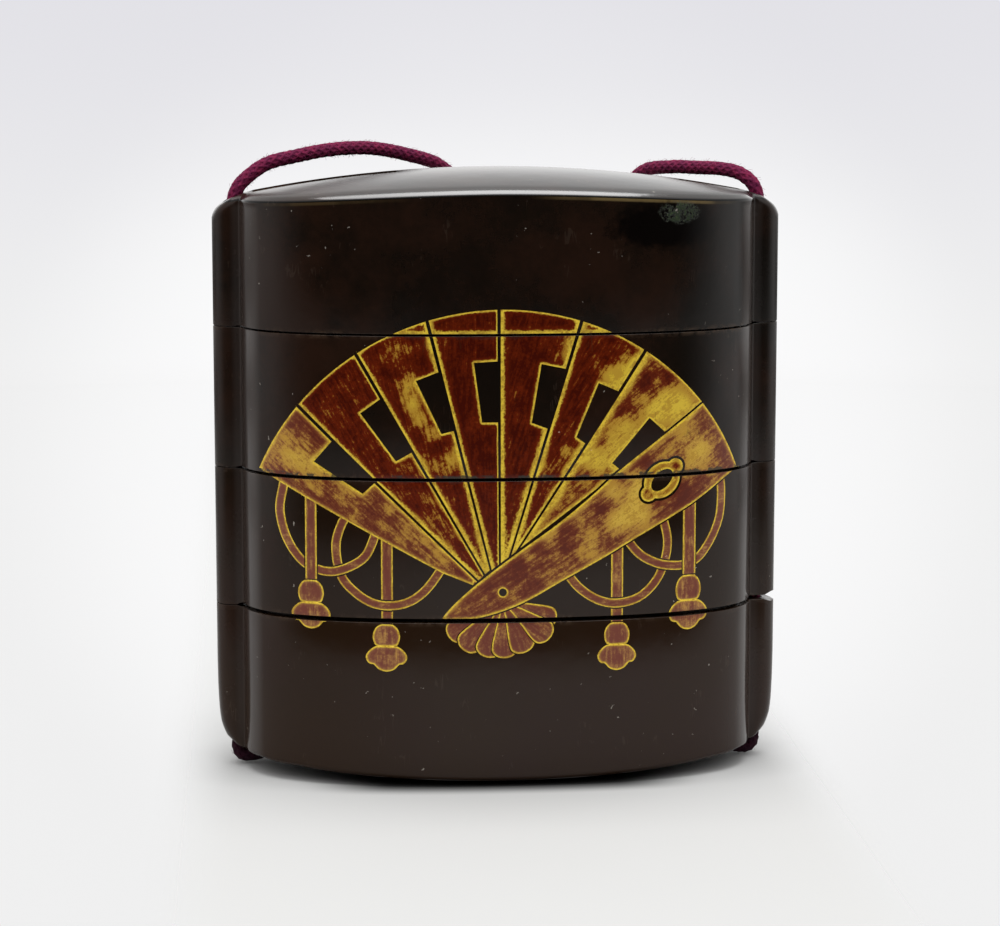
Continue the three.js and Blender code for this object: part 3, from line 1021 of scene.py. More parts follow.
def braided(name, points, step, density):
    """A braided cord along points in millimetres, as a plain mesh."""
    cord = bpy.context.scene.inro_cord
    data = bpy.data.curves.new(name + "_path", "CURVE")
    data.dimensions = "3D"
    spline = data.splines.new("POLY")
    spline.points.add(len(points) - 1)
    for target, point in zip(spline.points, points):
        target.co = (*(float(c) * MM for c in point), 1)
    holder = own_object(name + "_path", data)
    tree = braid_tree()
    step_node = holder.modifiers.new("Braid", "NODES")
    step_node.node_group = tree
    values = {
        "Diameter": cord.diameter * 1.05, "Strands": cord.strands, "Pitch": cord.pitch,
        "Step": step, "Fibre Density": density * 1e6, "Fibre Length": 0.00042, "Seed": 7,
        "Material": silk_material(),
    }
    for item in tree.interface.items_tree:
        if item.in_out == "INPUT" and item.name in values:
            step_node[item.identifier] = values[item.name]
    made = plain_mesh(holder, name)
    while made.data.materials[0] is None:
        made.data.materials.pop(index=0)
    return made


class InroCords(bpy.types.Operator):
    """Braids the silk cord: the free loop, and the stretch threaded through the cases"""

    bl_idname = "inro.cords"
    bl_label = "Silk Cord"

    def execute(self, context):
        cord = context.scene.inro_cord
        route = smooth_route(LOOP_ROUTE, ROUTE_STEPS)
        fine = smooth_route(LOOP_ROUTE, BRAID_STEPS)
        loop = braided("silk_cord_loop", fine, 0.0004, cord.fibres)
        length = sum(float(np.linalg.norm(q - p)) for p, q in zip(route, route[1:])) * MM
        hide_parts("cord_loop")
        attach(loop, "root")
        [c * MM for c in route[0]]
        held = braided("silk_cord_threaded", threaded_route(), 0.0005, cord.fibres * 0.2)
        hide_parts("cord_threaded")
        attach(held, "root")
        return {"FINISHED"}


# ---------------------------------------------------------------- cases


class InroCases(bpy.types.Operator):
    """Builds the lid and the three cases as hollow lacquered vessels"""

    bl_idname = "inro.cases"
    bl_label = "Lid and Cases"

    def execute(self, context):
        for index in range(len(TIERS)):
            build_tier(index)
        return {"FINISHED"}


# ---------------------------------------------------------------- the fan picture

# Across and up, in millimetres, on the front: the fan's arc and the ends of its seven grooves
FAN_CENTRE = (-0.3, 23.9)
FAN_RADIUS = 27.75
GROOVES = (
    ((-22.11, 41.33), (-2.82, 22.42)), ((-15.96, 47.13), (-2.31, 23.28)),
    ((-8.36, 50.62), (-1.62, 23.79)), ((-0.73, 51.64), (-0.64, 23.99)),
    ((8.07, 50.34), (0.38, 25.06)), ((15.06, 47.13), (0.97, 25.42)),
    ((21.44, 41.04), (1.33, 25.81)),
)
# Dark windows, each with its two free corners first: top left and bottom left
WINDOWS = (
    ((-20.33, 35.27), (-15.19, 31.96), (-13.77, 33.3), (-18.39, 37.57)),
    ((-15.39, 40.6), (-11.66, 35.5), (-10.09, 36.4), (-13.19, 42.23)),
    ((-9.52, 44.11), (-6.83, 38.44), (-5.52, 38.79), (-7.16, 45.08)),
    ((-3.4, 46.03), (-2.53, 39.66), (-0.84, 39.65), (-0.85, 46.19)),
    ((3.79, 45.85), (2.75, 39.57), (4.27, 38.97), (6.36, 45.33)),
    ((9.93, 43.73), (7.53, 37.96), (8.51, 37.26), (12.06, 42.82)),
    ((15.5, 39.82), (11.41, 35.07), (12.5, 34.16), (17.4, 38.09)),
)
LEFT_EDGE = ((-25.87, 34.06), (-25.85, 33.88), (-6.83, 23.51), (-2.4, 21.7))
GUARD_TOP = ((21.44, 41.04), (12.0, 34.04), (9.46, 31.8), (5.79, 28.81), (1.29, 25.59),
             (-2.78, 22.5), (-5.24, 20.35), (-6.4, 19.1), (-6.78, 18.6))
GUARD_LOW = ((25.9, 33.74), (24.59, 33.03), (20.58, 30.38), (17.58, 28.74), (13.97, 26.8),
             (10.68, 24.93), (6.46, 22.67), (1.4, 19.94), (-2.78, 18.6), (-6.2, 18.3))
KNOT = (16.93, 33.02)
KNOT_TILT = 44
RIVET = (-0.32, 21.33)
PETAL_HUB = (-0.32, 20.51)
PETAL_TIPS = ((-6.1, 16.54), (-4.54, 15.11), (-2.14, 14.32), (-0.1, 14.18), (2.16, 14.8),
              (4.75, 16.3), (5.3, 18.0))
# Cord loops of the fan: the path of each band's middle
LOOPS = {
    "left_low": ((-17.0, 29.4), (-17.43, 28.65), (-18.05, 26.36), (-17.45, 22.9), (-15.97, 21.22),
                 (-14.28, 20.18), (-12.58, 19.88), (-10.56, 20.24), (-8.86, 21.33),
                 (-7.15, 23.51), (-6.6, 24.6)),
    "left_high": ((-23.4, 33.2), (-23.66, 32.08), (-23.97, 29.76), (-23.15, 26.58),
                  (-21.47, 24.32), (-19.78, 23.56), (-18.4, 23.45), (-16.69, 24.0),
                  (-15.01, 25.15), (-14.13, 26.91), (-13.8, 28.0)),
    "right_low": ((6.4, 23.9), (6.89, 22.87), (8.19, 21.42), (10.16, 20.21), (12.13, 19.85),
                  (14.45, 20.4), (16.22, 21.94), (17.2, 23.9), (17.6, 26.3), (17.2, 28.4),
                  (16.9, 29.3)),
    "right_high": ((12.9, 27.3), (13.42, 26.34), (14.64, 24.98), (16.61, 23.94), (18.0, 23.65),
                   (19.38, 23.63), (20.98, 24.2), (22.49, 26.03), (23.54, 28.44), (23.76, 31.27),
                   (23.6, 33.2)),
}
BAND = 0.98
PICTURE_LOW, PICTURE_HIGH = 5.0, 60.0
# How far the picture's shells reach into the lacquer, how high their borders stand, and the
# clear space round each line in the mesh
SUNK = 0.09
BORDER_SHARE = 0.55
CLEAR = 0.13
# Straps: left, right, bottom, top
STRAPS = {
    "left_outer": (-21.3, -20.1, 22.35, 31.8), "left_inner": (-13.28, -12.05, 17.7, 27.4),
    "right_inner": (11.38, 12.68, 17.5, 27.0), "right_outer": (19.35, 20.78, 22.15, 31.2),
}
# Tassels: middle, top of the knob, half width of the bell, height
TASSELS = {
    "left_outer": (-20.75, 22.4, 2.07, 5.3), "left_inner": (-12.76, 17.85, 2.2, 5.15),
    "right_inner": (12.04, 17.75, 2.12, 5.25), "right_outer": (20.0, 22.45, 2.2, 6.0),
}
KNOB_SHAPE = ((0.0, 0.0), (0.28, -0.005), (0.46, -0.05), (0.6, -0.14), (0.66, -0.25),
              (0.63, -0.344), (0.56, -0.42), (0.48, -0.45))
BELL_SHAPE = ((0.48, -0.46), (0.62, -0.485), (0.82, -0.55), (0.95, -0.62), (1.0, -0.69),
              (0.97, -0.757), (0.88, -0.815), (0.77, -0.84), (0.64, -0.845), (0.55, -0.88),
              (0.4, -0.945), (0.2, -0.985), (0.0, -1.0))
# Rubbed gold fields of the fan: across, up, radius, strength
GILT = (
    (-23.2, 36.2, 2.2, 0.3), (-21.6, 35.2, 1.8, 0.3), (-19.6, 34.3, 1.6, 0.3),
    (-11.6, 47.4, 1.3, 0.3), (-10.4, 43.6, 1.3, 0.55), (-9.9, 41.6, 1.0, 0.6), (-9.0, 40.0, 0.9, 0.55),
    (-7.9, 38.3, 0.8, 0.45), (-8.3, 35.4, 1.2, 0.3), (-6.0, 36.0, 1.1, 0.5), (-6.4, 34.4, 1.0, 0.4),
    (-7.3, 46.8, 0.6, 0.35), (-8.0, 48.0, 0.7, 0.3), (-15.5, 36.2, 1.5, 0.15), (-10.6, 34.6, 1.3, 0.3),
    (-18.2, 39.8, 1.8, 0.12), (6.5, 48.2, 0.9, 0.4), (5.9, 46.9, 0.8, 0.35), (13.8, 46.2, 1.1, 0.4),
    (12.9, 45.0, 1.6, 0.55), (12.0, 43.9, 1.2, 0.5), (10.6, 44.6, 1.2, 0.35), (8.4, 36.3, 1.0, 0.5),
    (6.7, 36.4, 1.0, 0.4), (6.3, 34.6, 1.0, 0.4), (3.9, 37.0, 0.7, 0.3), (3.4, 34.8, 0.7, 0.25),
    (17.6, 41.4, 1.9, 0.55), (19.2, 40.8, 1.4, 0.5), (16.1, 40.4, 1.4, 0.45), (13.0, 39.0, 1.6, 0.4),
    (11.6, 37.2, 1.4, 0.4), (9.8, 35.2, 1.5, 0.5), (12.2, 35.0, 1.2, 0.4), (15.1, 43.8, 1.1, -0.55),
    (17.6, 44.0, 0.8, -0.3), (12.3, 40.6, 0.7, -0.25), (21.2, 36.0, 2.1, 0.6), (19.2, 38.3, 1.5, 0.3),
    (17.5, 36.2, 1.4, 0.25), (13.2, 29.4, 1.9, 0.55), (14.3, 31.4, 1.3, 0.45), (11.6, 28.6, 1.4, 0.35),
    (15.0, 29.2, 1.2, 0.35), (12.0, 31.9, 1.0, 0.3), (8.6, 30.4, 0.9, 0.3), (5.2, 27.7, 0.9, 0.3),
    (9.4, 25.2, 1.2, 0.25), (5.0, 22.9, 1.1, 0.2), (1.2, 20.6, 0.9, 0.15), (2.4, 25.3, 0.7, 0.25),
    (-12.5, 30.7, 1.6, 0.25), (-16.5, 32.4, 1.8, 0.25), (-9.5, 27.9, 1.5, 0.3), (-6.9, 26.0, 1.1, 0.3),
    (-7.6, 30.6, 1.5, 0.35), (-5.6, 27.6, 1.2, 0.3), (-2.6, 33.5, 0.9, 0.15), (1.6, 32.0, 0.9, 0.2),
    (5.3, 31.7, 1.2, 0.3), (4.4, 34.9, 0.9, 0.25), (19.6, 31.6, 1.6, -0.2), (-5.2, 19.4, 0.8, 0.15),
    (14.3, 33.0, 1.3, 0.5), (9.0, 26.8, 1.5, 0.4), (11.2, 32.2, 1.0, 0.3), (7.4, 29.4, 0.9, 0.3),
    (4.4, 27.0, 0.8, 0.3), (6.6, 24.7, 1.2, 0.25), (20.0, 34.0, 1.2, 0.25), (1.6, 24.0, 1.2, -0.15),
    (6.4, 26.6, 1.2, -0.2), (10.6, 30.2, 0.9, -0.25),
)


def chord_points(points, spacing=0.4):
    """A line through points with others put between them, at most spacing apart."""
    made = [tuple(points[0])]
    for a, b in zip(points, points[1:]):
        count = max(1, math.ceil(math.dist(a, b) / spacing))
        made += [(a[0] + (b[0] - a[0]) * k / count, a[1] + (b[1] - a[1]) * k / count)
                 for k in range(1, count + 1)]
    return made


def fair_line(knots, per_span=6):
    """A smooth line through knots in the picture's plane."""
    steps = per_span * (len(knots) - 1)
    return [(x, z) for x, z, _ in smooth_route([(*k, 0) for k in knots], steps)]


def arc_points(start, end, radius=FAN_RADIUS, centre=FAN_CENTRE, count=40):
    """Points of an arc from one angle to another, in degrees."""
    return [(centre[0] + radius * math.cos(math.radians(a)),
             centre[1] + radius * math.sin(math.radians(a)))
            for a in np.linspace(start, end, count)]


def oval(centre, long, short, tilt, count=40):
    """A closed oval, tilted by an angle in degrees."""
    return placed([(long * math.cos(a), short * math.sin(a))
                   for a in np.linspace(0, 2 * math.pi, count, endpoint=False)],
                  centre, math.radians(tilt))


def ribbon(path, width):
    """The two sides of a band round a path, and its closed outline."""
    line = np.array(path)
    run = np.gradient(line, axis=0)
    side = np.stack([-run[:, 1], run[:, 0]], axis=1)
    side /= np.linalg.norm(side, axis=1)[:, None]
    one = [tuple(p) for p in line + side * width / 2]
    two = [tuple(p) for p in line - side * width / 2]
    return one, two, one + two[::-1]


def shifted(a, b, first, last):
    """The line from a to b moved sideways, to the left seen from a, by first at a and last at b."""
    dx, dz = b[0] - a[0], b[1] - a[1]
    size = math.hypot(dx, dz)
    nx, nz = -dz / size, dx / size
    return (a[0] + nx * first, a[1] + nz * first), (b[0] + nx * last, b[1] + nz * last)


def arc_angle(point):
    """Angle of a point seen from the middle of the fan's arc, in degrees."""
    return math.degrees(math.atan2(point[1] - FAN_CENTRE[1], point[0] - FAN_CENTRE[0]))


def knot_outline(grow):
    """The mon-like ring on the guard: an oval with an ear at each end."""
    ring = []
    for a in np.linspace(0, 2 * math.pi, 120, endpoint=False):
        way = (math.cos(a), math.sin(a))
        reach = 1 / math.hypot(way[0] / (2.15 + grow), way[1] / (1.8 + grow))
        for end in (-2.05, 2.05):
            along = way[0] * end
            inside = along * along - end * end + (0.85 + grow) ** 2
            if along > 0 and inside > 0:
                reach = max(reach, along + math.sqrt(inside))
        ring.append((way[0] * reach, way[1] * reach))
    return placed(ring, KNOT, math.radians(KNOT_TILT))


def picture_layers():
    """The picture in painter's order: (outline, part or None for bare lacquer).

    A part has its gold lines (points, width), the angle of its brush strokes, its share of gold,
    whether the rubbed gold fields cross it, and how faded its red is.
    """
    layers = []

    def cut(outline):
        layers.append((outline, None))

    def paint(outline, lines, angle, gild=0.0, fields=False, faded=0.0):
        layers.append((outline, {"lines": lines, "angle": angle, "gild": gild, "fields": fields,
                                 "faded": faded}))

    def strap(name):
        left, right, low, high = STRAPS[name]
        cut([(left - 0.13, low), (right + 0.13, low), (right + 0.13, high), (left - 0.13, high)])
        sides = [chord_points(((x, low), (x, high))) for x in (left, right)]
        paint(sides[0] + sides[1][::-1], [(sides[0], 0.24), (sides[1], 0.22)], 90, 0.12,
              faded=0.9)

    def loop(name):
        path = fair_line(LOOPS[name])
        cut(ribbon(path, BAND + 0.3)[2])
        one, two, outline = ribbon(path, BAND)
        paint(outline, [(one, 0.2), (two, 0.2)], 0, 0.12, faded=0.9)

    def tassel(name):
        middle, top, half, high = TASSELS[name]
        for shape, line in ((KNOB_SHAPE, 0.24), (BELL_SHAPE, 0.26)):
            right = [(middle + dx * half, top + dz * high) for dx, dz in shape]
            left = [(2 * middle - x, z) for x, z in right]
            corners = right + left[::-1]
            closed = fair_line([*corners, corners[0]], 4)[:-1]
            paint(closed, [(closed + closed[:1], line)], 90, 0.2, faded=0.9)

    for side in ("left", "right"):
        strap(side + "_inner")
        loop(side + "_low")
        loop(side + "_high")
        strap(side + "_outer")
    for name, (middle, top, half, high) in TASSELS.items():
        cut([(middle + dx, top + dz)
             for dx, dz in ((-0.8, -0.02), (0.8, -0.02), (0.8, 0.12), (-0.8, 0.12))])
        tassel(name)
    # Petals of the rosette under the guard
    for tip in (PETAL_TIPS[6], *PETAL_TIPS[:6]):
        dx, dz = tip[0] - PETAL_HUB[0], tip[1] - PETAL_HUB[1]
        size, turn = math.hypot(dx, dz), math.atan2(dz, dx)
        half = []
        for share, wide in ((0.1, 0.2), (0.3, 0.5), (0.55, 0.9), (0.75, 1.2), (0.88, 1.25),
                            (0.96, 0.9), (1.0, 0.35)):
            half.append((share * size, wide * 1.08))
        corners = half + [(u, -v) for u, v in reversed(half)]
        outline = placed(corners, PETAL_HUB, turn)
        closed = fair_line([*outline, outline[0]], 5)[:-1]
        cut(fair_line(placed([(u + 0.08, v * 1.09) for u, v in corners], PETAL_HUB, turn), 4))
        paint(closed, [(closed + closed[:1], 0.24)], math.degrees(turn), 0.12, faded=0.75)
    # The fan's leaves, from left to right, then the grooves and the windows
    starts = [158.5] + [arc_angle(top) for top, end in GROOVES]
    for k, (top, end) in enumerate(GROOVES):
        steps = max(8, int(abs(starts[k + 1] - starts[k]) * 2))
        arc = arc_points(starts[k], starts[k + 1], count=steps)
        right = chord_points(shifted(top, end, -0.19, -0.11))
        if k == 0:
            left = chord_points(LEFT_EDGE)
            left_width = 0.24
        else:
            left = chord_points(shifted(*GROOVES[k - 1], 0.19, 0.11))
            left_width = (0.34, 0.36, 0.36, 0.5, 0.42, 0.42)[k - 1]
        outline = arc + right + left[::-1]
        pane = WINDOWS[k]
        rim = chord_points((pane[3], pane[0], pane[1], pane[2]))
        right_width = (0.2, 0.2, 0.42, 0.16, 0.5, 0.3, 0.24)[k]
        lines = [(arc, 0.22), (left, left_width), (right, right_width), (rim, 0.27)]
        base = (0.24, 0.06, 0.08, 0.02, 0.02, 0.08, 0.3)[k]
        middle = math.degrees(math.atan2(top[1] - end[1], top[0] - end[0]))
        paint(outline, lines, middle, base, True, (0.35, 0, 0, 0, 0, 0, 0.1)[k])
    for pane, (top, end) in zip(WINDOWS, GROOVES):
        over = (top[0] + (top[0] - end[0]) * 0.02, top[1] + (top[1] - end[1]) * 0.02)
        one = shifted(over, end, 0.19, 0.11)
        two = shifted(over, end, -0.19, -0.11)
        cut(chord_points(one) + chord_points(two)[::-1])
        a, b = np.array(top), np.array(end)
        run = (b - a) / np.linalg.norm(b - a)
        feet = [tuple(a + run * np.dot(np.array(p) - a, run)) for p in (pane[2], pane[3])]
        cut(chord_points((pane[0], pane[1], feet[0], feet[1], pane[0])))
    # The guard, its ring and its rivet
    arc = arc_points(arc_angle(GUARD_LOW[0]), arc_angle(GUARD_TOP[0]), count=30)
    top = fair_line(GUARD_TOP, 8)
    low = fair_line(GUARD_LOW, 8)
    nose = [(-6.78, 18.6), (-6.66, 18.42), (-6.45, 18.32), (-6.2, 18.3)]
    outline = arc + top[1:] + nose[1:] + low[::-1][1:]
    for edge, aside in ((top, -0.24), (low, 0.16)):
        margin = [shifted(p, q, aside, aside)[0] for p, q in zip(edge, edge[1:])]
        cut(margin + edge[::-1])
    lines = [(arc, 0.24), (top, 0.3), (low, 0.26), (nose, 0.25)]
    hole = oval(KNOT, 1.45, 0.88, KNOT_TILT)
    rivet = oval(RIVET, 0.43, 0.43, 0, 24)
    lines.append((rivet + rivet[:1], 0.2))
    paint(outline, lines, 34, 0.2, True, 0.42)
    cut(knot_outline(0.28))
    ring = knot_outline(0.0)
    paint(ring, [(ring + ring[:1], 0.26), (hole + hole[:1], 0.24)], KNOT_TILT, 0.36)
    cut(hole)
    cut(rivet)
    return layers


def inside(outline, points):
    """Which points lie inside a closed outline."""
    edge = np.array(outline)
    result = np.zeros(len(points), bool)
    low, high = edge.min(0), edge.max(0)
    near = np.where(((points >= low) & (points <= high)).all(1))[0]
    x, z = points[near, 0], points[near, 1]
    hits = np.zeros(len(near), bool)
    for (x1, z1), (x2, z2) in zip(edge, np.roll(edge, -1, 0)):
        if z1 == z2:
            continue
        crosses = (z1 > z) != (z2 > z)
        at = (x2 - x1) * (z - z1) / (z2 - z1) + x1
        hits ^= crosses & (x < at)
    result[near] = hits
    return result


def line_distance(points, line):
    """Distance of each point from a line of points."""
    best = np.full(len(points), 1e9)
    line = np.array(line)
    for a, b in zip(line, line[1:]):
        run = b - a
        size = max(float(run @ run), 1e-12)
        share = np.clip(((points - a) @ run) / size, 0, 1)
        gap = points - (a + share[:, None] * run)
        best = np.minimum(best, np.einsum("ij,ij->i", gap, gap))
    return np.sqrt(best)


def tier_spans():
    """Lowest and highest level of the picture's cut on each tier, from the lowest case."""
    margin = 0.05
    made = []
    for index in range(len(TIERS)):
        low, high = tier_bounds(index)
        made.append((low + margin if index else PICTURE_LOW,
                     high - margin if index < LID else PICTURE_HIGH))
    return made


def picture_mesh(layers, spans, grain):
    """Triangles of the whole picture, their tier and part, and the flat points."""
    points, edges = [], []
    for outline, part in layers:
        base = len(points)
        closed = chord_points([*outline, outline[0]], 0.2)[:-1]
        points += closed
        count = len(closed)
        edges += [(base + i, base + (i + 1) % count) for i in range(count)]
    limits = [level for pair in spans for level in pair][1:-1]
    for level in limits:
        row = [(-27 + k * 0.45, level) for k in range(121)]
        base = len(points)
        points += row
        edges += [(base + i, base + i + 1) for i in range(120)]
    fixed = np.array(points)
    rng = np.random.default_rng(11)
    rows = np.arange(12.0, 52.5, grain * 0.87)
    x = np.arange(-26.5, 26.5, grain)
    seeds = np.concatenate([
        np.stack([x + (grain / 2 if r % 2 else 0), np.full(len(x), z)], axis=1)
        for r, z in enumerate(rows)])
    seeds += rng.uniform(-0.12, 0.12, seeds.shape) * grain
    used = np.zeros(len(seeds), bool)
    for outline, part in layers:
        held = inside(outline, seeds)
        used[held] = part is not None
    seeds = seeds[used]
    seeds = seeds[np.argsort(seeds[:, 0])]
    clear = np.ones(len(seeds), bool)
    for a, b in fixed[edges]:
        low, high = np.searchsorted(seeds[:, 0], (min(a[0], b[0]) - 0.15, max(a[0], b[0]) + 0.15))
        run = b - a
        share = np.clip(((seeds[low:high] - a) @ run) / max(float(run @ run), 1e-12), 0, 1)
        gap = seeds[low:high] - (a + share[:, None] * run)
        clear[low:high] &= np.einsum("ij,ij->i", gap, gap) > CLEAR ** 2
    seeds = seeds[clear]
    every = [Vector(p) for p in points] + [Vector(p) for p in seeds.tolist()]
    placed, _, triangles, _, _, _ = delaunay_2d_cdt(every, edges, [], 0, 1e-4)
    flat = np.array([tuple(p) for p in placed])
    triangles = np.array(triangles)
    middle = flat[triangles].mean(1)
    part_of = np.full(len(triangles), -1)
    for index, (outline, part) in enumerate(layers):
        held = inside(outline, middle)
        part_of[held] = -1 if part is None else index
    tier_of = np.full(len(triangles), -1)
    for tier, (low, high) in enumerate(spans):
        tier_of[(middle[:, 1] > low) & (middle[:, 1] < high)] = tier
    return flat, triangles, part_of, tier_of


def on_front(s, flat, lift):
    """Points of the picture's plane laid on the front face, lift above it."""
    x = flat[:, 0]
    depth = front_depth(s, x)
    nx = s["px"] * np.sign(x) * np.abs(x / s["a"]) ** (s["px"] - 1) / s["a"]
    ny = s["py"] * (depth / s["b"]) ** (s["py"] - 1) / s["b"]
    size = np.hypot(nx, ny)
    return np.stack([x + lift * nx / size, -depth - lift * ny / size, flat[:, 1]], axis=1)


def build_picture(tier, layers, flat, triangles, part_of):
    """One tier's share of the picture: thin closed shells with soft borders."""
    s = sizes()
    lift = bpy.context.scene.inro_picture.lift / MM
    lid_low = tier_spans()[LID][0]
    points, faces = [], []
    near, gild, brush, pale = [], [], [], []
    total = 0
    for index in np.unique(part_of):
        part = layers[index][1]
        own = triangles[part_of == index]
        used, local = np.unique(own, return_inverse=True)
        local = local.reshape(own.shape)
        place = flat[used]
        sides = {edge: True for a, b, c in local.tolist() for edge in ((a, b), (b, c), (c, a))}
        border = [e for e in sides if (e[1], e[0]) not in sides]
        height = np.full(len(used), lift)
        height[list({i for e in border for i in e})] = lift * BORDER_SHARE
        top = on_front(s, place, height)
        bottom = on_front(s, place, np.full(len(used), -SUNK))
        points += [top, bottom]
        count = len(used)
        faces += [(total + a, total + b, total + c) for a, b, c in local.tolist()]
        faces += [(total + count + c, total + count + b, total + count + a)
                  for a, b, c in local.tolist()]
        faces += [(total + b, total + a, total + count + a, total + count + b) for a, b in border]
        total += 2 * count
        closest = np.full(count, 9.0)
        lower = np.clip((33.0 - place[:, 1]) / 6, 0, 1)
        for line, width in part["lines"]:
            grown = width * (1 + (0.35 if part["fields"] else 0.0) * lower * (0.3 < width))
            closest = np.minimum(closest, line_distance(place, line) / grown)
        if tier == LID and part["fields"]:
            closest = np.minimum(closest, (place[:, 1] - lid_low) / 0.42)
        share = np.full(count, part["gild"])
        if part["fields"]:
            for x, z, radius, strength in GILT:
                away = ((place[:, 0] - x) ** 2 + (place[:, 1] - z) ** 2) / radius ** 2
                share += strength * np.exp(-away)
        turn = math.radians(part["angle"])
        along = place[:, 0] * math.cos(turn) + place[:, 1] * math.sin(turn)
        across = place[:, 1] * math.cos(turn) - place[:, 0] * math.sin(turn)
        strokes = np.stack([across, along, np.full(count, index * 3.7)], axis=1)
        near += [closest, closest]
        gild += [share, share]
        pale += [np.full(2 * count, part["faded"])]
        brush += [strokes, strokes]
    name = "fan_on_" + TIERS[tier]
    piece = mesh_object(name, np.concatenate(points), faces)
    mesh = piece.data
    for label, values in (("line_near", near), ("gilding", gild), ("faded", pale)):
        keep_values(mesh, label, np.concatenate(values))
    keep_values(mesh, "brush", np.concatenate(brush), "FLOAT_VECTOR", "vector")
    covered(mesh, picture_material(), 50)
    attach(piece, "root")


class InroPicture(bpy.types.Operator):
    """Lays the gilt fan with its loops and tassels over the lid and the cases"""

    bl_idname = "inro.picture"
    bl_label = "Fan Picture"

    def execute(self, context):
        layers = picture_layers()
        grain = context.scene.inro_picture.grain / MM
        flat, triangles, part_of, tier_of = picture_mesh(layers, tier_spans(), grain)
        for tier in range(len(TIERS)):
            kept = (tier_of == tier) & (part_of >= 0)
            build_picture(tier, layers, flat, triangles[kept], part_of[kept])
        return {"FINISHED"}


# ---------------------------------------------------------------- stage


def floor_material():
    """A plain pale floor that fades out far from the case, so that no edge of it shows."""
    stage = bpy.context.scene.inro_stage
    material = bpy.data.materials.new("pale_floor")
    tree = emptied(material)
    where, x, y, _ = in_mm(tree)
    away = abs(x)
    fore = calc("MINIMUM", y, 0.0) + calc("MAXIMUM", y, 0.0) * 0.55
    aside = x * 0.55
    flat = calc("SQRT", fore * fore + aside * aside)
    direct = node(tree, "ShaderNodeLightPath")["Is Camera Ray"]
    gone = calc("MAXIMUM", span(flat, 60, 225), span(away, 28.5, 38, 0.0, 0.9) * direct)
    grain = cloud(where, 0.03, 2.0)
    tone = blend_colour(grain, times(stage.floor, 0.985), stage.floor)
    # Deeper shade where the case all but touches the floor
    plan = (away / 30.0) ** 2.4 + (abs(y) / 13.1) ** 2.5
    shade = span(plan, 0.85, 1.8, 0.93, 0.0) * span(away, 12, 23, 1.0, 0.12)
    paint = node(tree, "ShaderNodeBsdfDiffuse",
                 {"Color": blend_colour(shade, tone, (0.0, 0.0, 0.0))})
    clear = node(tree, "ShaderNodeBsdfTransparent")
    both = node(tree, "ShaderNodeMixShader", {0: gone, 1: paint, 2: clear})
    node(tree, "ShaderNodeOutputMaterial", {"Surface": both})
    return material


def room_world():
    """Pale surroundings, dark where a room lies behind the camera; even where seen directly."""
    stage = bpy.context.scene.inro_stage
    world = bpy.data.worlds.new("studio")
    tree = emptied(world)
    way = node(tree, "ShaderNodeTexCoord", None, "Generated")
    split = node(tree, "ShaderNodeSeparateXYZ", {0: way})
    y, z = split["Y"], split["Z"]
    # What lights the case: brighter overhead in front, and low down behind it
    front = span(y, 0.1, -0.3, 1.0, 1.6) * span(z, 0.28, 0.6)
    back = span(y, 0.5, 0.9) * span(z, 0.5, 0.15) * span(z, -0.02, 0.17)
    low = calc("MAXIMUM", span(z, -0.14, 0.02, 0.1, 1.0), span(y, 0.5, 0.1))
    room = calc("MAXIMUM", span(y, -0.75, -0.12, 0.02, 1.0), front) + back * 1.2
    room = room * low * (1.0 - span(z, -0.2, 0.9) * 0.12) * stage.room
    # What the camera sees: even, with a glow where it looks
    seen = blend_colour(span(z, -0.13, 0.01), (0.87, 0.87, 0.872), (0.765, 0.76, 0.80))
    aim = tuple(Vector(stage.aim).normalized())
    facing = vector_calc("DOT_PRODUCT", way, aim, "Value")
    glow = span(facing, 0.986, 0.9966) * span(z, -0.022, -0.085, 0.28, 1.0)
    seen = blend_colour(glow, seen, (0.96, 0.96, 0.965))
    direct = node(tree, "ShaderNodeLightPath")["Is Camera Ray"]
    light = node(tree, "ShaderNodeBackground",
                 {"Color": blend_colour(direct, room, seen), "Strength": 1.0})
    node(tree, "ShaderNodeOutputWorld", {"Surface": light})
    return world


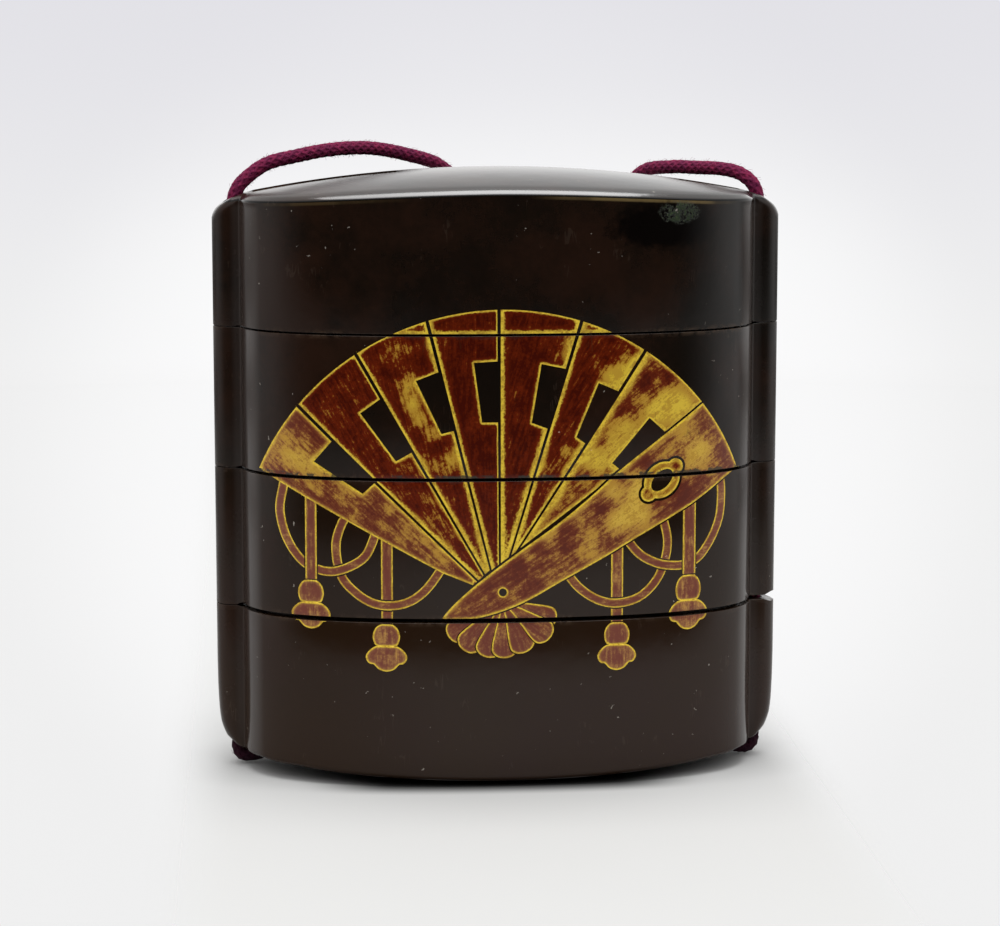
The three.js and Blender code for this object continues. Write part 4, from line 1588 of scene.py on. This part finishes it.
class InroStage(bpy.types.Operator):
    """Sets up the camera, the pale floor and the soft studio light"""

    bl_idname = "inro.stage"
    bl_label = "Stage"

    def execute(self, context):
        stage = context.scene.inro_stage
        data = bpy.data.cameras.new("camera")
        data.lens = stage.lens
        data.sensor_width = 36
        data.clip_start = 0.02
        data.clip_end = 20
        camera = own_object("camera", data)
        camera.location = stage.camera
        camera.rotation_euler = Vector(stage.aim).to_track_quat("-Z", "Y").to_euler()
        context.scene.camera = camera
        sides = 96
        turn = np.linspace(0, 2 * math.pi, sides, endpoint=False)
        rings = [np.stack([r * np.cos(turn), r * np.sin(turn), np.zeros(sides)], axis=1)
                 for r in (40, 90, 180, 430)]
        faces = [(0, 1 + i, 1 + (i + 1) % sides) for i in range(sides)]
        for k in range(len(rings) - 1):
            base = 1 + k * sides
            faces += [(base + i, base + sides + i, base + sides + (i + 1) % sides,
                       base + (i + 1) % sides) for i in range(sides)]
        floor = mesh_object("floor", np.concatenate([[(0, 0, 0)], *rings]), faces)
        floor.data.materials.append(floor_material())
        light = bpy.data.lights.new("overhead_softbox", "AREA")
        light.shape = "RECTANGLE"
        light.size = 0.55
        light.size_y = 0.44
        light.energy = stage.softbox
        lamp = own_object("overhead_softbox", light)
        lamp.location = (0.0, -0.02, 0.75)
        lamp.rotation_euler = Vector((0, 0, -1)).to_track_quat("-Z", "Y").to_euler()
        context.scene.world = room_world()
        context.scene.view_settings.view_transform = "Standard"
        return {"FINISHED"}


class InroPanel(bpy.types.Panel):
    """The inro's pieces and their sizes"""

    bl_idname = "VIEW3D_PT_inro"
    bl_label = "Lacquered Inro"
    bl_space_type = "VIEW_3D"
    bl_region_type = "UI"
    bl_category = "Inro"

    def draw(self, context):
        for operator, settings in PARTS:
            box = self.layout.box()
            box.operator(operator)
            group = getattr(context.scene, settings)
            for name in group.bl_rna.properties.keys():
                if name not in {"rna_type", "name"}:
                    box.prop(group, name)


PARTS = (
    ("inro.stage", "inro_stage"), ("inro.cords", "inro_cord"), ("inro.cases", "inro_body"),
    ("inro.picture", "inro_picture"),
)
GROUPS = {
    "inro_body": InroBodySettings, "inro_picture": InroPictureSettings,
    "inro_cord": InroCordSettings, "inro_stage": InroStageSettings,
}
CLASSES = (*GROUPS.values(), InroStage, InroCords, InroCases, InroPicture, InroPanel)


def register():
    """Registers the classes and hangs the settings on the scene."""
    for cls in CLASSES:
        bpy.utils.register_class(cls)
    for name, cls in GROUPS.items():
        setattr(bpy.types.Scene, name, bpy.props.PointerProperty(type=cls))


def unregister():
    """Takes the settings and classes away again."""
    for name in GROUPS:
        delattr(bpy.types.Scene, name)
    for cls in reversed(CLASSES):
        bpy.utils.unregister_class(cls)


def main():
    """Builds everything in order."""
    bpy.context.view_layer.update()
    register()
    for operator, _ in PARTS:
        group, name = operator.split(".")
        getattr(getattr(bpy.ops, group), name)()


if __name__ == "__main__":
    main()
